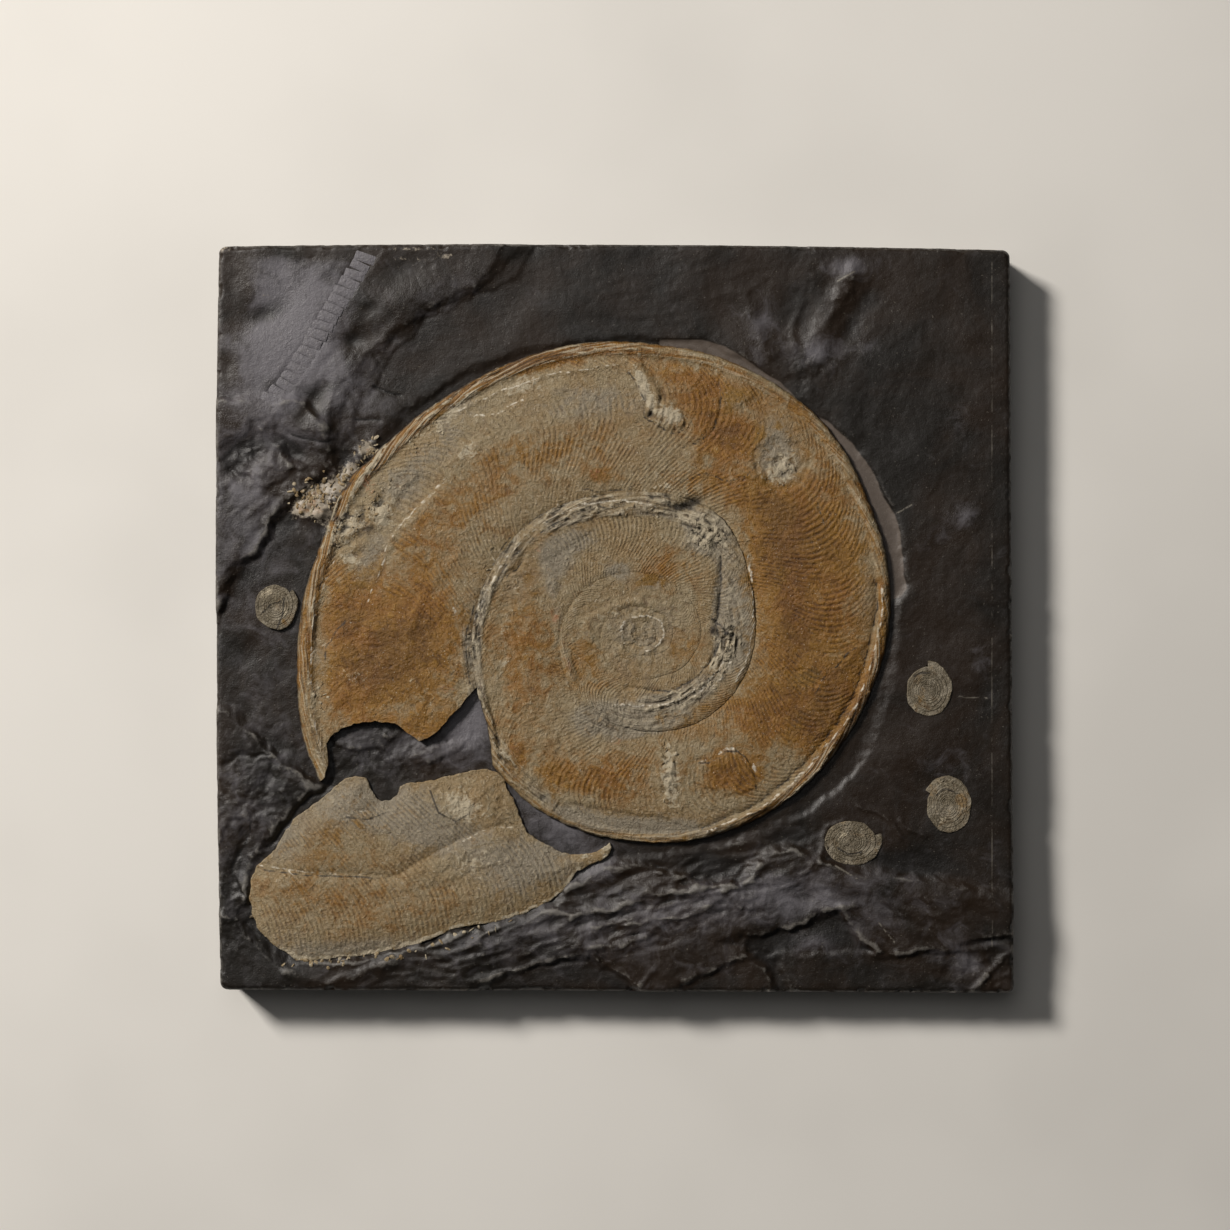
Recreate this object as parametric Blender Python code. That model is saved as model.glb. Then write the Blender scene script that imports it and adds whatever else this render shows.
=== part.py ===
"""A large coiled ammonite lying in a sawn slab of dark shale, with the broken end of its shell and
four small ammonites beside it.

The slab lies on its sawn back: +Z is up, +Y is towards the upper edge of the fossil face, and the
origin is the middle of the back. Places on the fossil face are in millimetres from its middle.
"""

import math

import bmesh
import bpy
import numpy as np
from mathutils import Vector
from mathutils.geometry import delaunay_2d_cdt

MM = 0.001

# The sawn block: corners of the face, and how far two of its edges bow outwards at the middle.
CORNERS = [(-179.9, 169.2), (179.6, 167.8), (181.4, -170.2), (-179.2, -168.4)]
BOW_TOP = 1.8
BOW_LEFT = 1.9
BED_HEIGHT = 22.5
EDGE_WEAR = 1.2
FACE_CELLS = (116, 110)
FACE_TRIANGLES = 3700

# How the shells are let into the stone.
POCKET_DEPTH = 2.4
SEAT_GAP = 0.35
ABOVE_ALL = 12.0

# The big shell is one log spiral: its edge grows by a fixed ratio in each turn.
SHELL_CENTRE = (12.3, -7.7)
SHELL_RADIUS = 55.3
GROWTH_PER_TURN = 2.015
SHELL_FIRST_ANGLE = -877.5
SHELL_LAST_ANGLE = 562.5
STEPS_PER_TURN = 48
SEAM_HEIGHT = 2.1
RIM_HEIGHT = 0.5
BREAK_REACH = 22.5

# Heights across a whorl, as (share of the way from its inner seam to its edge, height).
INNER_WHORL = [
    (0.0, SEAM_HEIGHT), (0.12, 2.9), (0.4, 3.1), (0.7, 2.8), (0.79, 3.6), (0.9, 3.8), (1.0, 2.3),
]
LAST_WHORL = [
    (0.0, SEAM_HEIGHT), (0.12, 3.2), (0.4, 3.5), (0.7, 3.1), (0.86, 2.5), (0.9, 2.1), (0.94, 2.8),
    (1.0, RIM_HEIGHT),
]

# The crushed shell's edge against the perfect spiral, as (angle in degrees, ratio).
CRUSHING = [
    (-60, 0.96), (5, 0.923), (30, 0.948), (43, 0.998), (57, 1.05), (75, 1.024), (100, 0.99),
    (132, 1.012), (158, 1.0), (181, 0.981), (203, 0.964), (212, 0.985), (222, 1.053), (237, 1.05),
    (265, 1.008), (290, 0.992), (325, 0.979), (347, 0.988), (369, 1.01), (391, 1.012), (411, 1.038),
    (430, 1.025), (453, 1.001), (478, 0.983), (498, 0.983), (513, 1.01), (526, 0.994), (552, 0.984),
    (564, 0.97),
]

# Where the last turn is broken off, as (share of the way across the whorl, angle in degrees).
BREAK_EDGE = [
    (0.0, 557.2), (0.12, 561.4), (0.27, 564.9), (0.39, 565.5), (0.485, 559.4), (0.6, 557.6),
    (0.76, 556.7), (0.885, 558.7), (0.92, 562.4), (1.0, 564.4),
]

# The broken end of the living chamber, pushed down and out from the coil.
CHAMBER_OUTLINE = [
    (-166, -127), (-165, -117), (-161, -109), (-152, -99), (-147, -92), (-139, -85), (-129, -78),
    (-122, -72.5), (-114, -71.5), (-110, -77), (-107, -81.5), (-102, -82), (-98, -77), (-89, -74),
    (-76, -71.5), (-64, -68.5), (-57, -68.5), (-52, -72.5), (-50, -78), (-46, -88), (-40.5, -97),
    (-32, -101.5), (-22, -107.5), (-12, -107), (-2, -101.5), (-2, -107), (-10, -112.5), (-18, -116),
    (-24, -123), (-30, -129), (-39, -132), (-48, -136), (-60, -138), (-72, -140.5), (-86, -146.5),
    (-99, -149.5), (-113, -152.5), (-126, -153.5), (-137, -155.5), (-147, -155), (-156, -148),
    (-163, -139),
]
CHAMBER_CREASE = [(-163, -113), (-140, -115.5), (-100, -117), (-70, -101), (-44, -95)]
CHAMBER_RISE = 2.6
CHAMBER_CELL = 5.5
CREASE_DEPTH = 1.0

# Layers of shale: thickness, run of the slope at the edge, outline. A cut has a minus sign.
LAYERS = {
    "upper left plate": (2.3, 5.0, [
        (-195, 73), (-180, 76), (-172, 81), (-165, 87), (-158, 88), (-152, 88), (-145, 83),
        (-136, 81), (-129, 80), (-126, 86), (-124, 96), (-119, 104), (-112, 110), (-107, 118),
        (-101, 126), (-93, 132), (-86, 138), (-78, 143), (-68, 147), (-58, 153), (-50, 160),
        (-42, 170), (-38, 185), (-195, 185)]),
    "left plate": (2.0, 2.5, [
        (-195, 100), (-140, 100), (-129, 84), (-127, 74), (-132, 66), (-139, 59), (-150, 52),
        (-154, 46), (-158, 38), (-163, 30), (-171, 24), (-177, 15), (-180, 4), (-184, -10),
        (-195, -12)]),
    "lower left plate": (1.9, 2.5, [
        (-195, -38), (-176, -41), (-167, -47), (-160, -58), (-150, -66), (-141, -71), (-134, -75),
        (-139, -80), (-147, -86), (-153, -95), (-159, -104), (-165, -111), (-168, -120),
        (-167, -128), (-171, -133), (-178, -137), (-195, -138)]),
    "lower bank": (1.9, 4.0, [
        (-195, -128), (-172, -136), (-166, -143), (-158, -150), (-150, -156), (-140, -157),
        (-125, -155), (-110, -154), (-98, -151), (-86, -148), (-74, -142), (-62, -139.5),
        (-50, -137.5), (-38, -133.5), (-28, -129), (-20, -120), (-8, -114), (2, -110), (14, -112),
        (30, -117), (44, -121), (56, -120), (62, -112), (70, -106), (80, -103), (92, -108),
        (104, -113), (118, -115), (135, -117), (155, -120), (175, -124), (195, -126), (195, -185),
        (-195, -185)]),
    "lower edge break": (-1.9, 2.0, [
        (-74, -185), (-65, -167), (-50, -160.5), (-38, -157), (-26, -154), (-12, -154), (0, -160),
        (10, -168), (14, -185)]),
    "lower middle break": (-1.5, 2.0, [
        (24, -185), (30, -165), (42, -161), (52, -155.5), (66, -152), (75, -156), (82, -185)]),
    "lower right break": (-1.9, 2.0, [
        (48, -148), (58, -143), (72, -140.5), (84, -139.5), (92, -134), (101, -131.5), (106, -136),
        (111, -144), (118, -150.5), (128, -153), (140, -151), (156, -149), (162, -146.5),
        (177, -145), (195, -144), (195, -185), (76, -185), (70, -158)]),
    "floor round the shell": (-1.1, 4.0, [
        (24, 127), (40, 126.5), (58, 119), (70, 111), (84, 99), (92, 93), (101, 88), (110, 78),
        (119, 64), (126, 49), (130.5, 35), (131, 22), (133, 15), (128, 8), (128, -5), (125, -25),
        (121, -42), (115, -58), (107, -72), (93, -84), (77, -93), (58, -100), (40, -105),
        (20, -108), (2, -109), (-8, -113), (-20, -119), (-28, -128), (-50, -137), (-86, -147),
        (-120, -154), (-150, -155), (-166, -143), (-168, -130), (-166, -115), (-153, -95),
        (-134, -76), (-150, -64), (-165, -50), (-180, -38), (-195, -30), (-195, -8), (-180, 4),
        (-170, 24), (-158, 38), (-152, 50), (-139, 59), (-127, 74), (-110, 80), (-95, 94),
        (-78, 106), (-60, 115), (-40, 121), (-20, 125.5), (0, 127)]),
}

# Flowing ridges of the bedding: height, half width, line of the crest.
RIDGES = [
    (1.2, 3.0, [(-34, -130), (-20, -135), (-4, -132), (12, -125), (24, -122), (34, -125)]),
    (1.1, 3.0, [(8, -138), (24, -136), (38, -132), (53, -123)]),
    (0.9, 2.5, [(-22, -149), (-6, -148.5), (14, -145)]),
    (0.9, 2.5, [(-150, -161), (-130, -165), (-114, -161), (-98, -155)]),
    (1.1, 2.5, [(103, -131), (107, -140), (118, -151)]),
    (0.9, 3.0, [(60, 146), (63, 134), (71, 121)]),
    (0.9, 3.0, [(92, 130), (102, 141), (108, 158)]),
]

# Swells and hollows of the bedding: centre x, centre y, half lengths, turn in degrees, height.
SWELLS = [
    (-161, 139, 14, 8, 25, -1.3), (-174, 152, 7, 14, 0, -1.0), (-118, 127, 12, 6, 20, -1.2),
    (-137, 99, 5, 12, -35, -1.3), (-128, 98, 5, 12, -35, 1.0), (-168, 73, 11, 9, 20, -2.0),
    (-146, 75, 10, 5, -30, -1.4), (-92, 160, 17, 6, 15, -0.9), (-95, 146, 14, 6, 20, 0.8),
    (-106, 94, 12, 8, 0, 0.8), (106, 133, 6, 13, -25, -1.4), (96, 127, 8, 12, -30, 1.2),
    (82, 140, 15, 15, 0, -1.3), (112, 158, 9, 7, 0, 0.9), (-164, -14, 9, 6, 0, -0.8),
    (48, -113, 14, 7, -8, -1.7), (75, -100, 13, 6, 10, -1.2), (12, -116, 18, 6, 10, -1.1),
    (-10, -125, 13, 4, 15, -1.3), (86, -125, 8, 6, 0, -1.4), (-60, -150, 16, 6, 20, 0.9),
    (110, -122, 22, 6, -12, 0.8), (140, -112, 20, 8, -8, -0.9), (90, -146, 10, 5, 0, 0.8),
    (-80, -60, 16, 7, 10, 0.7), (-106, -57, 10, 6, 0, -0.6), (140, -60, 26, 9, 15, 0.7),
    (-170, -88, 8, 14, -15, 0.9), (-171, -112, 4, 14, -15, -1.6),
]

# The ribbed keel of another shell, pressed through the upper left plate like a short ladder.
LADDER_ENDS = ((-113, 165), (-160, 91))
LADDER_WIDTH = 9.5
LADDER_STEPS = 17
LADDER_RISE = 1.1

# Crumbled shell on the upper left of the coil's rim, as (x, y, radius, height) lumps.
CRUMBLE = [
    (-137, 57, 5, 2.4), (-143, 50, 4, 1.8), (-134, 50, 4, 2.2), (-127, 55, 5, 2.2),
    (-122, 64, 4, 2.4), (-116, 74, 3.5, 2.4), (-110, 80, 3, 1.6),
]

# Small ammonites: name, centre x, centre y, half width, half height, turn in degrees.
SMALL_SHELLS = [
    ("small_ammonite_left", -154.5, 6.0, 9.4, 10.4, 40),
    ("small_ammonite_right", 142.3, -32.5, 10.3, 11.8, 90),
    ("small_ammonite_lower_right", 151.5, -85.0, 10.4, 12.6, 150),
    ("small_ammonite_bottom", 107.6, -101.3, 12.6, 10.0, 20),
]
SMALL_GROWTH = 1.5
SMALL_LAST_ANGLE = 0.0
SMALL_FIRST_ANGLE = -810.0
SMALL_STEPS = 16
SMALL_WHORL = [(0.0, 0.5), (0.35, 1.3), (0.75, 1.2), (1.0, -0.6)]


def clear_scene():
    for obj in list(bpy.data.objects):
        bpy.data.objects.remove(obj)


def stone_material(name, colour, roughness):
    material = bpy.data.materials.new(name)
    material.use_nodes = True
    surface = material.node_tree.nodes["Principled BSDF"]
    surface.inputs["Base Color"].default_value = (*colour, 1.0)
    surface.inputs["Roughness"].default_value = roughness
    surface.inputs["Metallic"].default_value = 0.0
    return material


def smooth_step(share):
    share = np.clip(share, 0.0, 1.0)
    return share * share * (3.0 - 2.0 * share)


def along_table(value, table):
    """The second column of a table at a value of its first column."""
    return np.interp(value, *zip(*table))


def line_distance(x, y, line):
    """Distance of each point from a line of straight runs."""
    nearest = np.full(np.shape(x), np.inf)
    for (ax, ay), (bx, by) in zip(line, line[1:]):
        dx, dy = bx - ax, by - ay
        along = np.clip(((x - ax) * dx + (y - ay) * dy) / (dx * dx + dy * dy), 0.0, 1.0)
        nearest = np.minimum(nearest, np.hypot(x - ax - along * dx, y - ay - along * dy))
    return nearest


def depth_inside(x, y, outline):
    """Distance of each point from a closed outline, plus inside it and minus outside."""
    closed = outline + outline[:1]
    inside = np.zeros(np.shape(x), bool)
    for (ax, ay), (bx, by) in zip(closed, closed[1:]):
        if ay != by:
            crosses = (ay > y) != (by > y)
            inside ^= crosses & (x < ax + (y - ay) * (bx - ax) / (by - ay))
    nearest = line_distance(x, y, closed)
    return np.where(inside, nearest, -nearest)


def swell_height(x, y, swell):
    """One soft swell or hollow, a bell shape turned in the face."""
    centre_x, centre_y, half_long, half_wide, turn, height = swell
    turn = math.radians(turn)
    along = (x - centre_x) * math.cos(turn) + (y - centre_y) * math.sin(turn)
    across = (y - centre_y) * math.cos(turn) - (x - centre_x) * math.sin(turn)
    return height * np.exp(-(along / half_long) ** 2 - (across / half_wide) ** 2)


def ladder_height(x, y):
    """The pressed keel: a raised band, cut across by the grooves between its ribs."""
    (ax, ay), (bx, by) = LADDER_ENDS
    length = math.hypot(bx - ax, by - ay)
    dx, dy = (bx - ax) / length, (by - ay) / length
    along = (x - ax) * dx + (y - ay) * dy
    across = (x - ax) * dy - (y - ay) * dx
    band = smooth_step((LADDER_WIDTH / 2 - np.abs(across)) / 1.5 + 0.5)
    band = band * smooth_step(along / 4.0) * smooth_step((length - along) / 4.0)
    rib = 0.65 + 0.35 * np.cos(2.0 * math.pi * LADDER_STEPS * along / length)
    return LADDER_RISE * band * rib


def face_height(x, y):
    """Height of the fossil face above the sawn back, in millimetres."""
    height = np.full(np.shape(x), BED_HEIGHT)
    for thickness, run, outline in LAYERS.values():
        height += thickness * smooth_step(depth_inside(x, y, outline) / run + 0.5)
    for crest, half_width, line in RIDGES:
        height += crest * np.exp(-(line_distance(x, y, line) / half_width) ** 2)
    for swell in SWELLS:
        height += swell_height(x, y, swell)
    for centre_x, centre_y, radius, rise in CRUMBLE:
        height += swell_height(x, y, (centre_x, centre_y, radius, radius, 0, rise))
    return height + ladder_height(x, y)


def block_point(u, v):
    """A point of the face from its shares of the width and height, between the bowed edges."""
    top_left, top_right, low_right, low_left = [np.array(corner) for corner in CORNERS]
    low = low_left + (low_right - low_left) * u
    top = top_left + (top_right - top_left) * u
    x, y = low + (top - low) * v
    return x - BOW_LEFT * (1.0 - u) * 4.0 * v * (1.0 - v), y + BOW_TOP * v * 4.0 * u * (1.0 - u)


def edge_spaced(cells):
    """Shares from 0 to 1, evenly spaced but for one narrow worn strip at each end."""
    wear = EDGE_WEAR / (CORNERS[1][0] - CORNERS[0][0])
    return np.concatenate([[0.0], np.linspace(wear, 1.0 - wear, cells - 1), [1.0]])


def mesh_object(name, points, faces, material):
    mesh = bpy.data.meshes.new(name)
    mesh.from_pydata([tuple(MM * value for value in point) for point in points], [], faces)
    mesh.materials.append(material)
    obj = bpy.data.objects.new(name, mesh)
    bpy.context.scene.collection.objects.link(obj)
    return obj


def evaluated_shape(obj):
    """The object's mesh with its modifiers, as a shape to work on. The modifiers are cleared."""
    bpy.context.view_layer.update()
    evaluated = obj.evaluated_get(bpy.context.evaluated_depsgraph_get())
    shape = bmesh.new()
    shape.from_mesh(evaluated.to_mesh())
    evaluated.to_mesh_clear()
    obj.modifiers.clear()
    return shape


def face_sheet(name, material):
    """The relief of the fossil face as a sheet, thinned where it is flat."""
    across, up = edge_spaced(FACE_CELLS[0]), edge_spaced(FACE_CELLS[1])
    columns, rows = len(across), len(up)
    points = np.array([block_point(u, v) for v in up for u in across])
    height = face_height(points[:, 0], points[:, 1]).reshape(rows, columns)
    height[[0, -1], :] -= EDGE_WEAR
    height[1:-1, [0, -1]] -= EDGE_WEAR
    faces = [
        (r * columns + c, r * columns + c + 1, (r + 1) * columns + c + 1, (r + 1) * columns + c)
        for r in range(rows - 1) for c in range(columns - 1)
    ]
    sheet = mesh_object(name, np.column_stack([points, height.ravel()]), faces, material)
    thin = sheet.modifiers.new("thin", "DECIMATE")
    thin.ratio = FACE_TRIANGLES / (2.0 * len(faces))
    return sheet


def ring_length(ring):
    return sum((a.co - b.co).length for a, b in zip(ring, ring[1:] + ring[:1]))


def boundary_rings(shape):
    """The open edges of a sheet as rings of vertices, the shortest ring first."""
    used = set()
    rings = []
    for start in [edge for edge in shape.edges if edge.is_boundary]:
        if start in used:
            continue
        used.add(start)
        ring = list(start.verts)
        while ring[-1] is not ring[0]:
            step = next(edge for edge in ring[-1].link_edges
                        if edge.is_boundary and edge not in used)
            used.add(step)
            ring.append(step.other_vert(ring[-1]))
        rings.append(ring[:-1])
    return sorted(rings, key=ring_length)


def close_down(obj, floor):
    """Makes an open relief sheet solid, with upright sides and a flat floor at a height in
    millimetres. Returns the outline that its sides follow."""
    shape = evaluated_shape(obj)
    outline = [tuple(vertex.co.xy / MM) for vertex in boundary_rings(shape)[0]]
    rim = [edge for edge in shape.edges if edge.is_boundary]
    skirt = bmesh.ops.extrude_edge_only(shape, edges=rim)["geom"]
    for vertex in skirt:
        if isinstance(vertex, bmesh.types.BMVert):
            vertex.co.z = floor * MM
    bmesh.ops.edgeloop_fill(shape, edges=[edge for edge in shape.edges if edge.is_boundary])
    bmesh.ops.recalc_face_normals(shape, faces=shape.faces)
    shape.to_mesh(obj.data)
    shape.free()
    return outline


def widened(outline, gap):
    """The outline moved outwards by a gap. Its points may run either way round."""
    points = np.array(outline, float)
    before, after = np.roll(points, 1, axis=0), np.roll(points, -1, axis=0)
    turning = math.copysign(1.0, np.sum(points[:, 0] * after[:, 1] - after[:, 0] * points[:, 1]))

    def outward(start, end):
        run = end - start
        normal = np.column_stack([run[:, 1], -run[:, 0]]) * turning
        return normal / np.linalg.norm(normal, axis=1)[:, None]

    arriving, leaving = outward(before, points), outward(points, after)
    corner = arriving + leaving
    corner /= np.maximum(np.sum(corner * leaving, axis=1), 0.5)[:, None]
    return [tuple(point) for point in points + gap * corner]


def cut_pocket(slab, name, outline, material):
    """Cuts a flat-floored pocket in the slab, a little wider than the outline."""
    low, high = BED_HEIGHT - POCKET_DEPTH, BED_HEIGHT + ABOVE_ALL
    wide = widened(outline, SEAT_GAP)
    count = len(wide)
    points = [(x, y, low) for x, y in wide] + [(x, y, high) for x, y in wide]
    faces = [tuple(range(count)), tuple(range(count, 2 * count))]
    faces += [(i, (i + 1) % count, count + (i + 1) % count, count + i) for i in range(count)]
    cutter = mesh_object(name, points, faces, material)
    cutter.hide_render = True
    cutter.display_type = "WIRE"
    shape = evaluated_shape(cutter)
    bmesh.ops.recalc_face_normals(shape, faces=shape.faces)
    shape.to_mesh(cutter.data)
    shape.free()
    pocket = slab.modifiers.new(name, "BOOLEAN")
    pocket.operation = "DIFFERENCE"
    pocket.solver = "EXACT"
    pocket.object = cutter


def spiral_radius(angle):
    """Radius of the big shell's edge at an unwound angle in degrees."""
    return SHELL_RADIUS * GROWTH_PER_TURN ** (angle / 360.0) * along_table(angle, CRUSHING)


def broken_back(angle, across):
    """Draws the last steps of the shell to its broken edge."""
    start = SHELL_LAST_ANGLE - BREAK_REACH
    share = max(0.0, (angle - start) / BREAK_REACH)
    return angle + share * (along_table(across, BREAK_EDGE) - SHELL_LAST_ANGLE)


def shell_point(angle, across):
    """A point of the big shell's upper surface. The whorl that nothing covers has a rim."""
    uncovered = smooth_step((angle - (SHELL_LAST_ANGLE - 360.0)) / 10.0 + 0.5)
    turned = broken_back(angle, across)
    inner, outer = spiral_radius(turned - 360.0), spiral_radius(turned)
    radius = inner + (outer - inner) * across
    flank = along_table(across, INNER_WHORL) * (1.0 - uncovered)
    flank += along_table(across, LAST_WHORL) * uncovered
    size = min(1.0, 0.4 + 0.6 * radius / 65.0)
    turned = math.radians(turned)
    return (SHELL_CENTRE[0] + radius * math.cos(turned),
            SHELL_CENTRE[1] + radius * math.sin(turned), BED_HEIGHT + flank * size)


def small_point(shell, angle, across):
    """A point of a small ammonite's upper surface."""
    _, centre_x, centre_y, half_width, half_height, turn = shell
    outer = SMALL_GROWTH ** ((angle - SMALL_LAST_ANGLE) / 360.0 + 0.2)
    radius = outer * (1.0 - (1.0 - across) * (1.0 - 1.0 / SMALL_GROWTH))
    turned = math.radians(angle + turn)
    return (centre_x + half_width * radius * math.cos(turned),
            centre_y + half_height * radius * math.sin(turned),
            BED_HEIGHT + along_table(across, SMALL_WHORL))


def coiled_sheet(name, point, angles, per_turn, shares, material):
    """The upper surface of a coil, as a ribbon that shares each seam with the whorl inside it: the
    last line of a step is the first line of the step one turn on. point gives a place from an
    unwound angle and a share across."""
    first, last = angles
    steps = round((last - first) * per_turn / 360.0)
    lines = len(shares)
    points = [
        point(first + step * 360.0 / per_turn, across)
        for step in range(steps + 1) for across in shares
    ]
    for step in range(steps + 1, steps + 1 + per_turn):
        edge = point(first + (step - per_turn) * 360.0 / per_turn, 1.0)
        points += [edge] * lines

    def index(step, line):
        return (step + per_turn) * lines if line == lines else step * lines + line

    faces = [
        (index(step, line), index(step + 1, line), index(step + 1, line + 1), index(step, line + 1))
        for step in range(steps) for line in range(lines)
    ]
    sheet = mesh_object(name, points, faces, material)
    shape = evaluated_shape(sheet)
    unused = [vertex for vertex in shape.verts if not vertex.link_faces]
    bmesh.ops.delete(shape, geom=unused, context="VERTS")
    button = shape.faces.new(boundary_rings(shape)[0])
    bmesh.ops.poke(shape, faces=[button])
    shape.to_mesh(sheet.data)
    shape.free()
    return sheet


def chamber_sheet(name, material):
    """The upper surface of the broken living chamber: a low dome with one long crease."""
    outline = [Vector(point) for point in CHAMBER_OUTLINE]
    across, up = np.array(CHAMBER_OUTLINE).T
    grid_x, grid_y = [axis.ravel() for axis in np.meshgrid(
        np.arange(across.min(), across.max(), CHAMBER_CELL),
        np.arange(up.min(), up.max(), CHAMBER_CELL))]
    well_inside = depth_inside(grid_x, grid_y, CHAMBER_OUTLINE) > CHAMBER_CELL * 0.45
    inner = [Vector(point) for point in zip(grid_x[well_inside], grid_y[well_inside])]
    count = len(outline)
    rim = [(i, (i + 1) % count) for i in range(count)]
    flat, _, faces, *_ = delaunay_2d_cdt(outline + inner, rim, [], 1, 1e-6)
    x, y = np.array([point[:] for point in flat]).T
    depth = np.maximum(depth_inside(x, y, CHAMBER_OUTLINE), 0.0)
    height = BED_HEIGHT + RIM_HEIGHT + CHAMBER_RISE * smooth_step(depth / 15.0) ** 0.7
    crease = np.exp(-(line_distance(x, y, CHAMBER_CREASE) / 3.5) ** 2)
    height -= CREASE_DEPTH * crease * smooth_step(depth / 10.0)
    return mesh_object(name, np.column_stack([x, y, height]), faces, material)


def main():
    clear_scene()
    shale = stone_material("shale", (0.055, 0.047, 0.041), 0.55)
    shell = stone_material("shell", (0.21, 0.14, 0.075), 0.45)
    pale_shell = stone_material("pale_shell", (0.13, 0.105, 0.075), 0.55)

    slab = face_sheet("shale_slab", shale)
    close_down(slab, 0.0)

    flank_shares = sorted({share for share, _ in INNER_WHORL + LAST_WHORL} - {1.0})
    small_shares = [share for share, _ in SMALL_WHORL][:-1]
    fossils = [
        coiled_sheet("ammonite_coil", shell_point, (SHELL_FIRST_ANGLE, SHELL_LAST_ANGLE),
                     STEPS_PER_TURN, flank_shares, shell),
        chamber_sheet("body_chamber_fragment", shell),
    ]
    for small in SMALL_SHELLS:
        fossils.append(coiled_sheet(
            small[0], lambda angle, across, small=small: small_point(small, angle, across),
            (SMALL_FIRST_ANGLE, SMALL_LAST_ANGLE), SMALL_STEPS, small_shares, pale_shell))
    for fossil in fossils:
        outline = close_down(fossil, BED_HEIGHT - POCKET_DEPTH + SEAT_GAP)
        cut_pocket(slab, fossil.name + "_pocket", outline, shale)
        fossil.data.shade_smooth()
        fossil.data.set_sharp_from_angle(angle=math.radians(35))


main()
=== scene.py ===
# %% [markdown]
# # A large ammonite in its slab of black shale
# The real object is a hand-sawn slab of bituminous shale, 36 cm wide. On its upper face lies one big coiled
# shell, crushed almost flat, then the broken end of its living chamber, and four shells of young animals.
# Everything here is in millimetres from the middle of the slab, and becomes metres when a mesh is made.

import math

import bmesh
import bpy
import numpy as np
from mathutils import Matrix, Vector
from mathutils.geometry import delaunay_2d_cdt


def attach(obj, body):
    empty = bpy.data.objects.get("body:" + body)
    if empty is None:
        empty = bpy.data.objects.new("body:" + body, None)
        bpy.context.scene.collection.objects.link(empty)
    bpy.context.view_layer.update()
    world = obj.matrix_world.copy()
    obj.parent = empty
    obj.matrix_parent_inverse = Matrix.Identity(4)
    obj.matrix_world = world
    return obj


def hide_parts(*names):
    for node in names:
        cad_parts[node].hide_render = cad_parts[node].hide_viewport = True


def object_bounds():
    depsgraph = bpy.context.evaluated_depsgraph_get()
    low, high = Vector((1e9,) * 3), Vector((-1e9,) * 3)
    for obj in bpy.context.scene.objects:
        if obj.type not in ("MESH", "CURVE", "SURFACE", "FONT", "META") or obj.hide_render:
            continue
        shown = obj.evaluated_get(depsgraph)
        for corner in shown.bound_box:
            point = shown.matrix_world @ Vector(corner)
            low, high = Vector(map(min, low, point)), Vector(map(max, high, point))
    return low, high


MM = 0.001
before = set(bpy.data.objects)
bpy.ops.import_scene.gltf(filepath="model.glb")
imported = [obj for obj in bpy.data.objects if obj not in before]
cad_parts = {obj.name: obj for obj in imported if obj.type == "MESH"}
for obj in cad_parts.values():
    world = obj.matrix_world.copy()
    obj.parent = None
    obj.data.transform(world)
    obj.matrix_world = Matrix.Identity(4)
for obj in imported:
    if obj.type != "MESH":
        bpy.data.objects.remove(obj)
cad_box = [list(corner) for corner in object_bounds()]
SIZE = [round((high - low) / MM, 1) for low, high in zip(*cad_box)]
print("packed pieces:", sorted(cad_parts))
print("size of the part in mm:", SIZE)

# %% [markdown]
# Every surface of the slab is a sheet of heights: a place (x, y) gives one height. Such a sheet can be made
# with sculpting, with displacement textures or in code. Code is used, because each ledge and crack then has
# a place in millimetres, and the same helpers give the marks that the finishes read.

# %% Helpers for places and distances


def smooth_step(share):
    share = np.clip(share, 0.0, 1.0)
    return share * share * (3.0 - 2.0 * share)


def stepped(value, steepness=4.0):
    """Turns a slope into level treads with short steep risers, as split layers have."""
    tread = np.floor(value)
    return tread + smooth_step((value - tread - 0.5) * steepness + 0.5)


def along_table(value, table):
    """The second column of a table at a value of its first column."""
    return np.interp(value, *zip(*table))


def line_distance(x, y, line, reach=1000.0):
    """Distance from a line of straight runs, worked out only within reach of it."""
    nearest = np.full(np.shape(x), reach)
    across, up = np.array(line, float).T
    near = (x > across.min() - reach) & (x < across.max() + reach)
    near &= (y > up.min() - reach) & (y < up.max() + reach)
    px, py = x[near], y[near]
    found = np.full(px.shape, reach)
    for (ax, ay), (bx, by) in zip(line, line[1:]):
        dx, dy = bx - ax, by - ay
        along = np.clip(((px - ax) * dx + (py - ay) * dy) / (dx * dx + dy * dy), 0.0, 1.0)
        found = np.minimum(found, np.hypot(px - ax - along * dx, py - ay - along * dy))
    nearest[near] = found
    return nearest


def depth_inside(x, y, outline, reach=1000.0):
    """Distance from a closed outline, plus inside it and minus outside, cut off at the reach."""
    closed = list(outline) + [outline[0]]
    inside = np.zeros(np.shape(x), bool)
    for (ax, ay), (bx, by) in zip(closed, closed[1:]):
        if ay != by:
            crosses = (ay > y) != (by > y)
            inside ^= crosses & (x < ax + (y - ay) * (bx - ax) / (by - ay))
    nearest = line_distance(x, y, closed, reach)
    return np.where(inside, nearest, -nearest)


def own_place(x, y, centre_x, centre_y, turn):
    """How far a place is from a centre, along and across a direction turned by some degrees."""
    turn = math.radians(turn)
    along = (x - centre_x) * math.cos(turn) + (y - centre_y) * math.sin(turn)
    return along, (y - centre_y) * math.cos(turn) - (x - centre_x) * math.sin(turn)


def bells(x, y, spots):
    """The sum of soft bell shapes, each (centre x, centre y, half lengths, turn in degrees, height)."""
    total = np.zeros(np.shape(x))
    for centre_x, centre_y, half_long, half_wide, turn, height in spots:
        along, across = own_place(x, y, centre_x, centre_y, turn)
        total += height * np.exp(-(along / half_long) ** 2 - (across / half_wide) ** 2)
    return total


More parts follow.
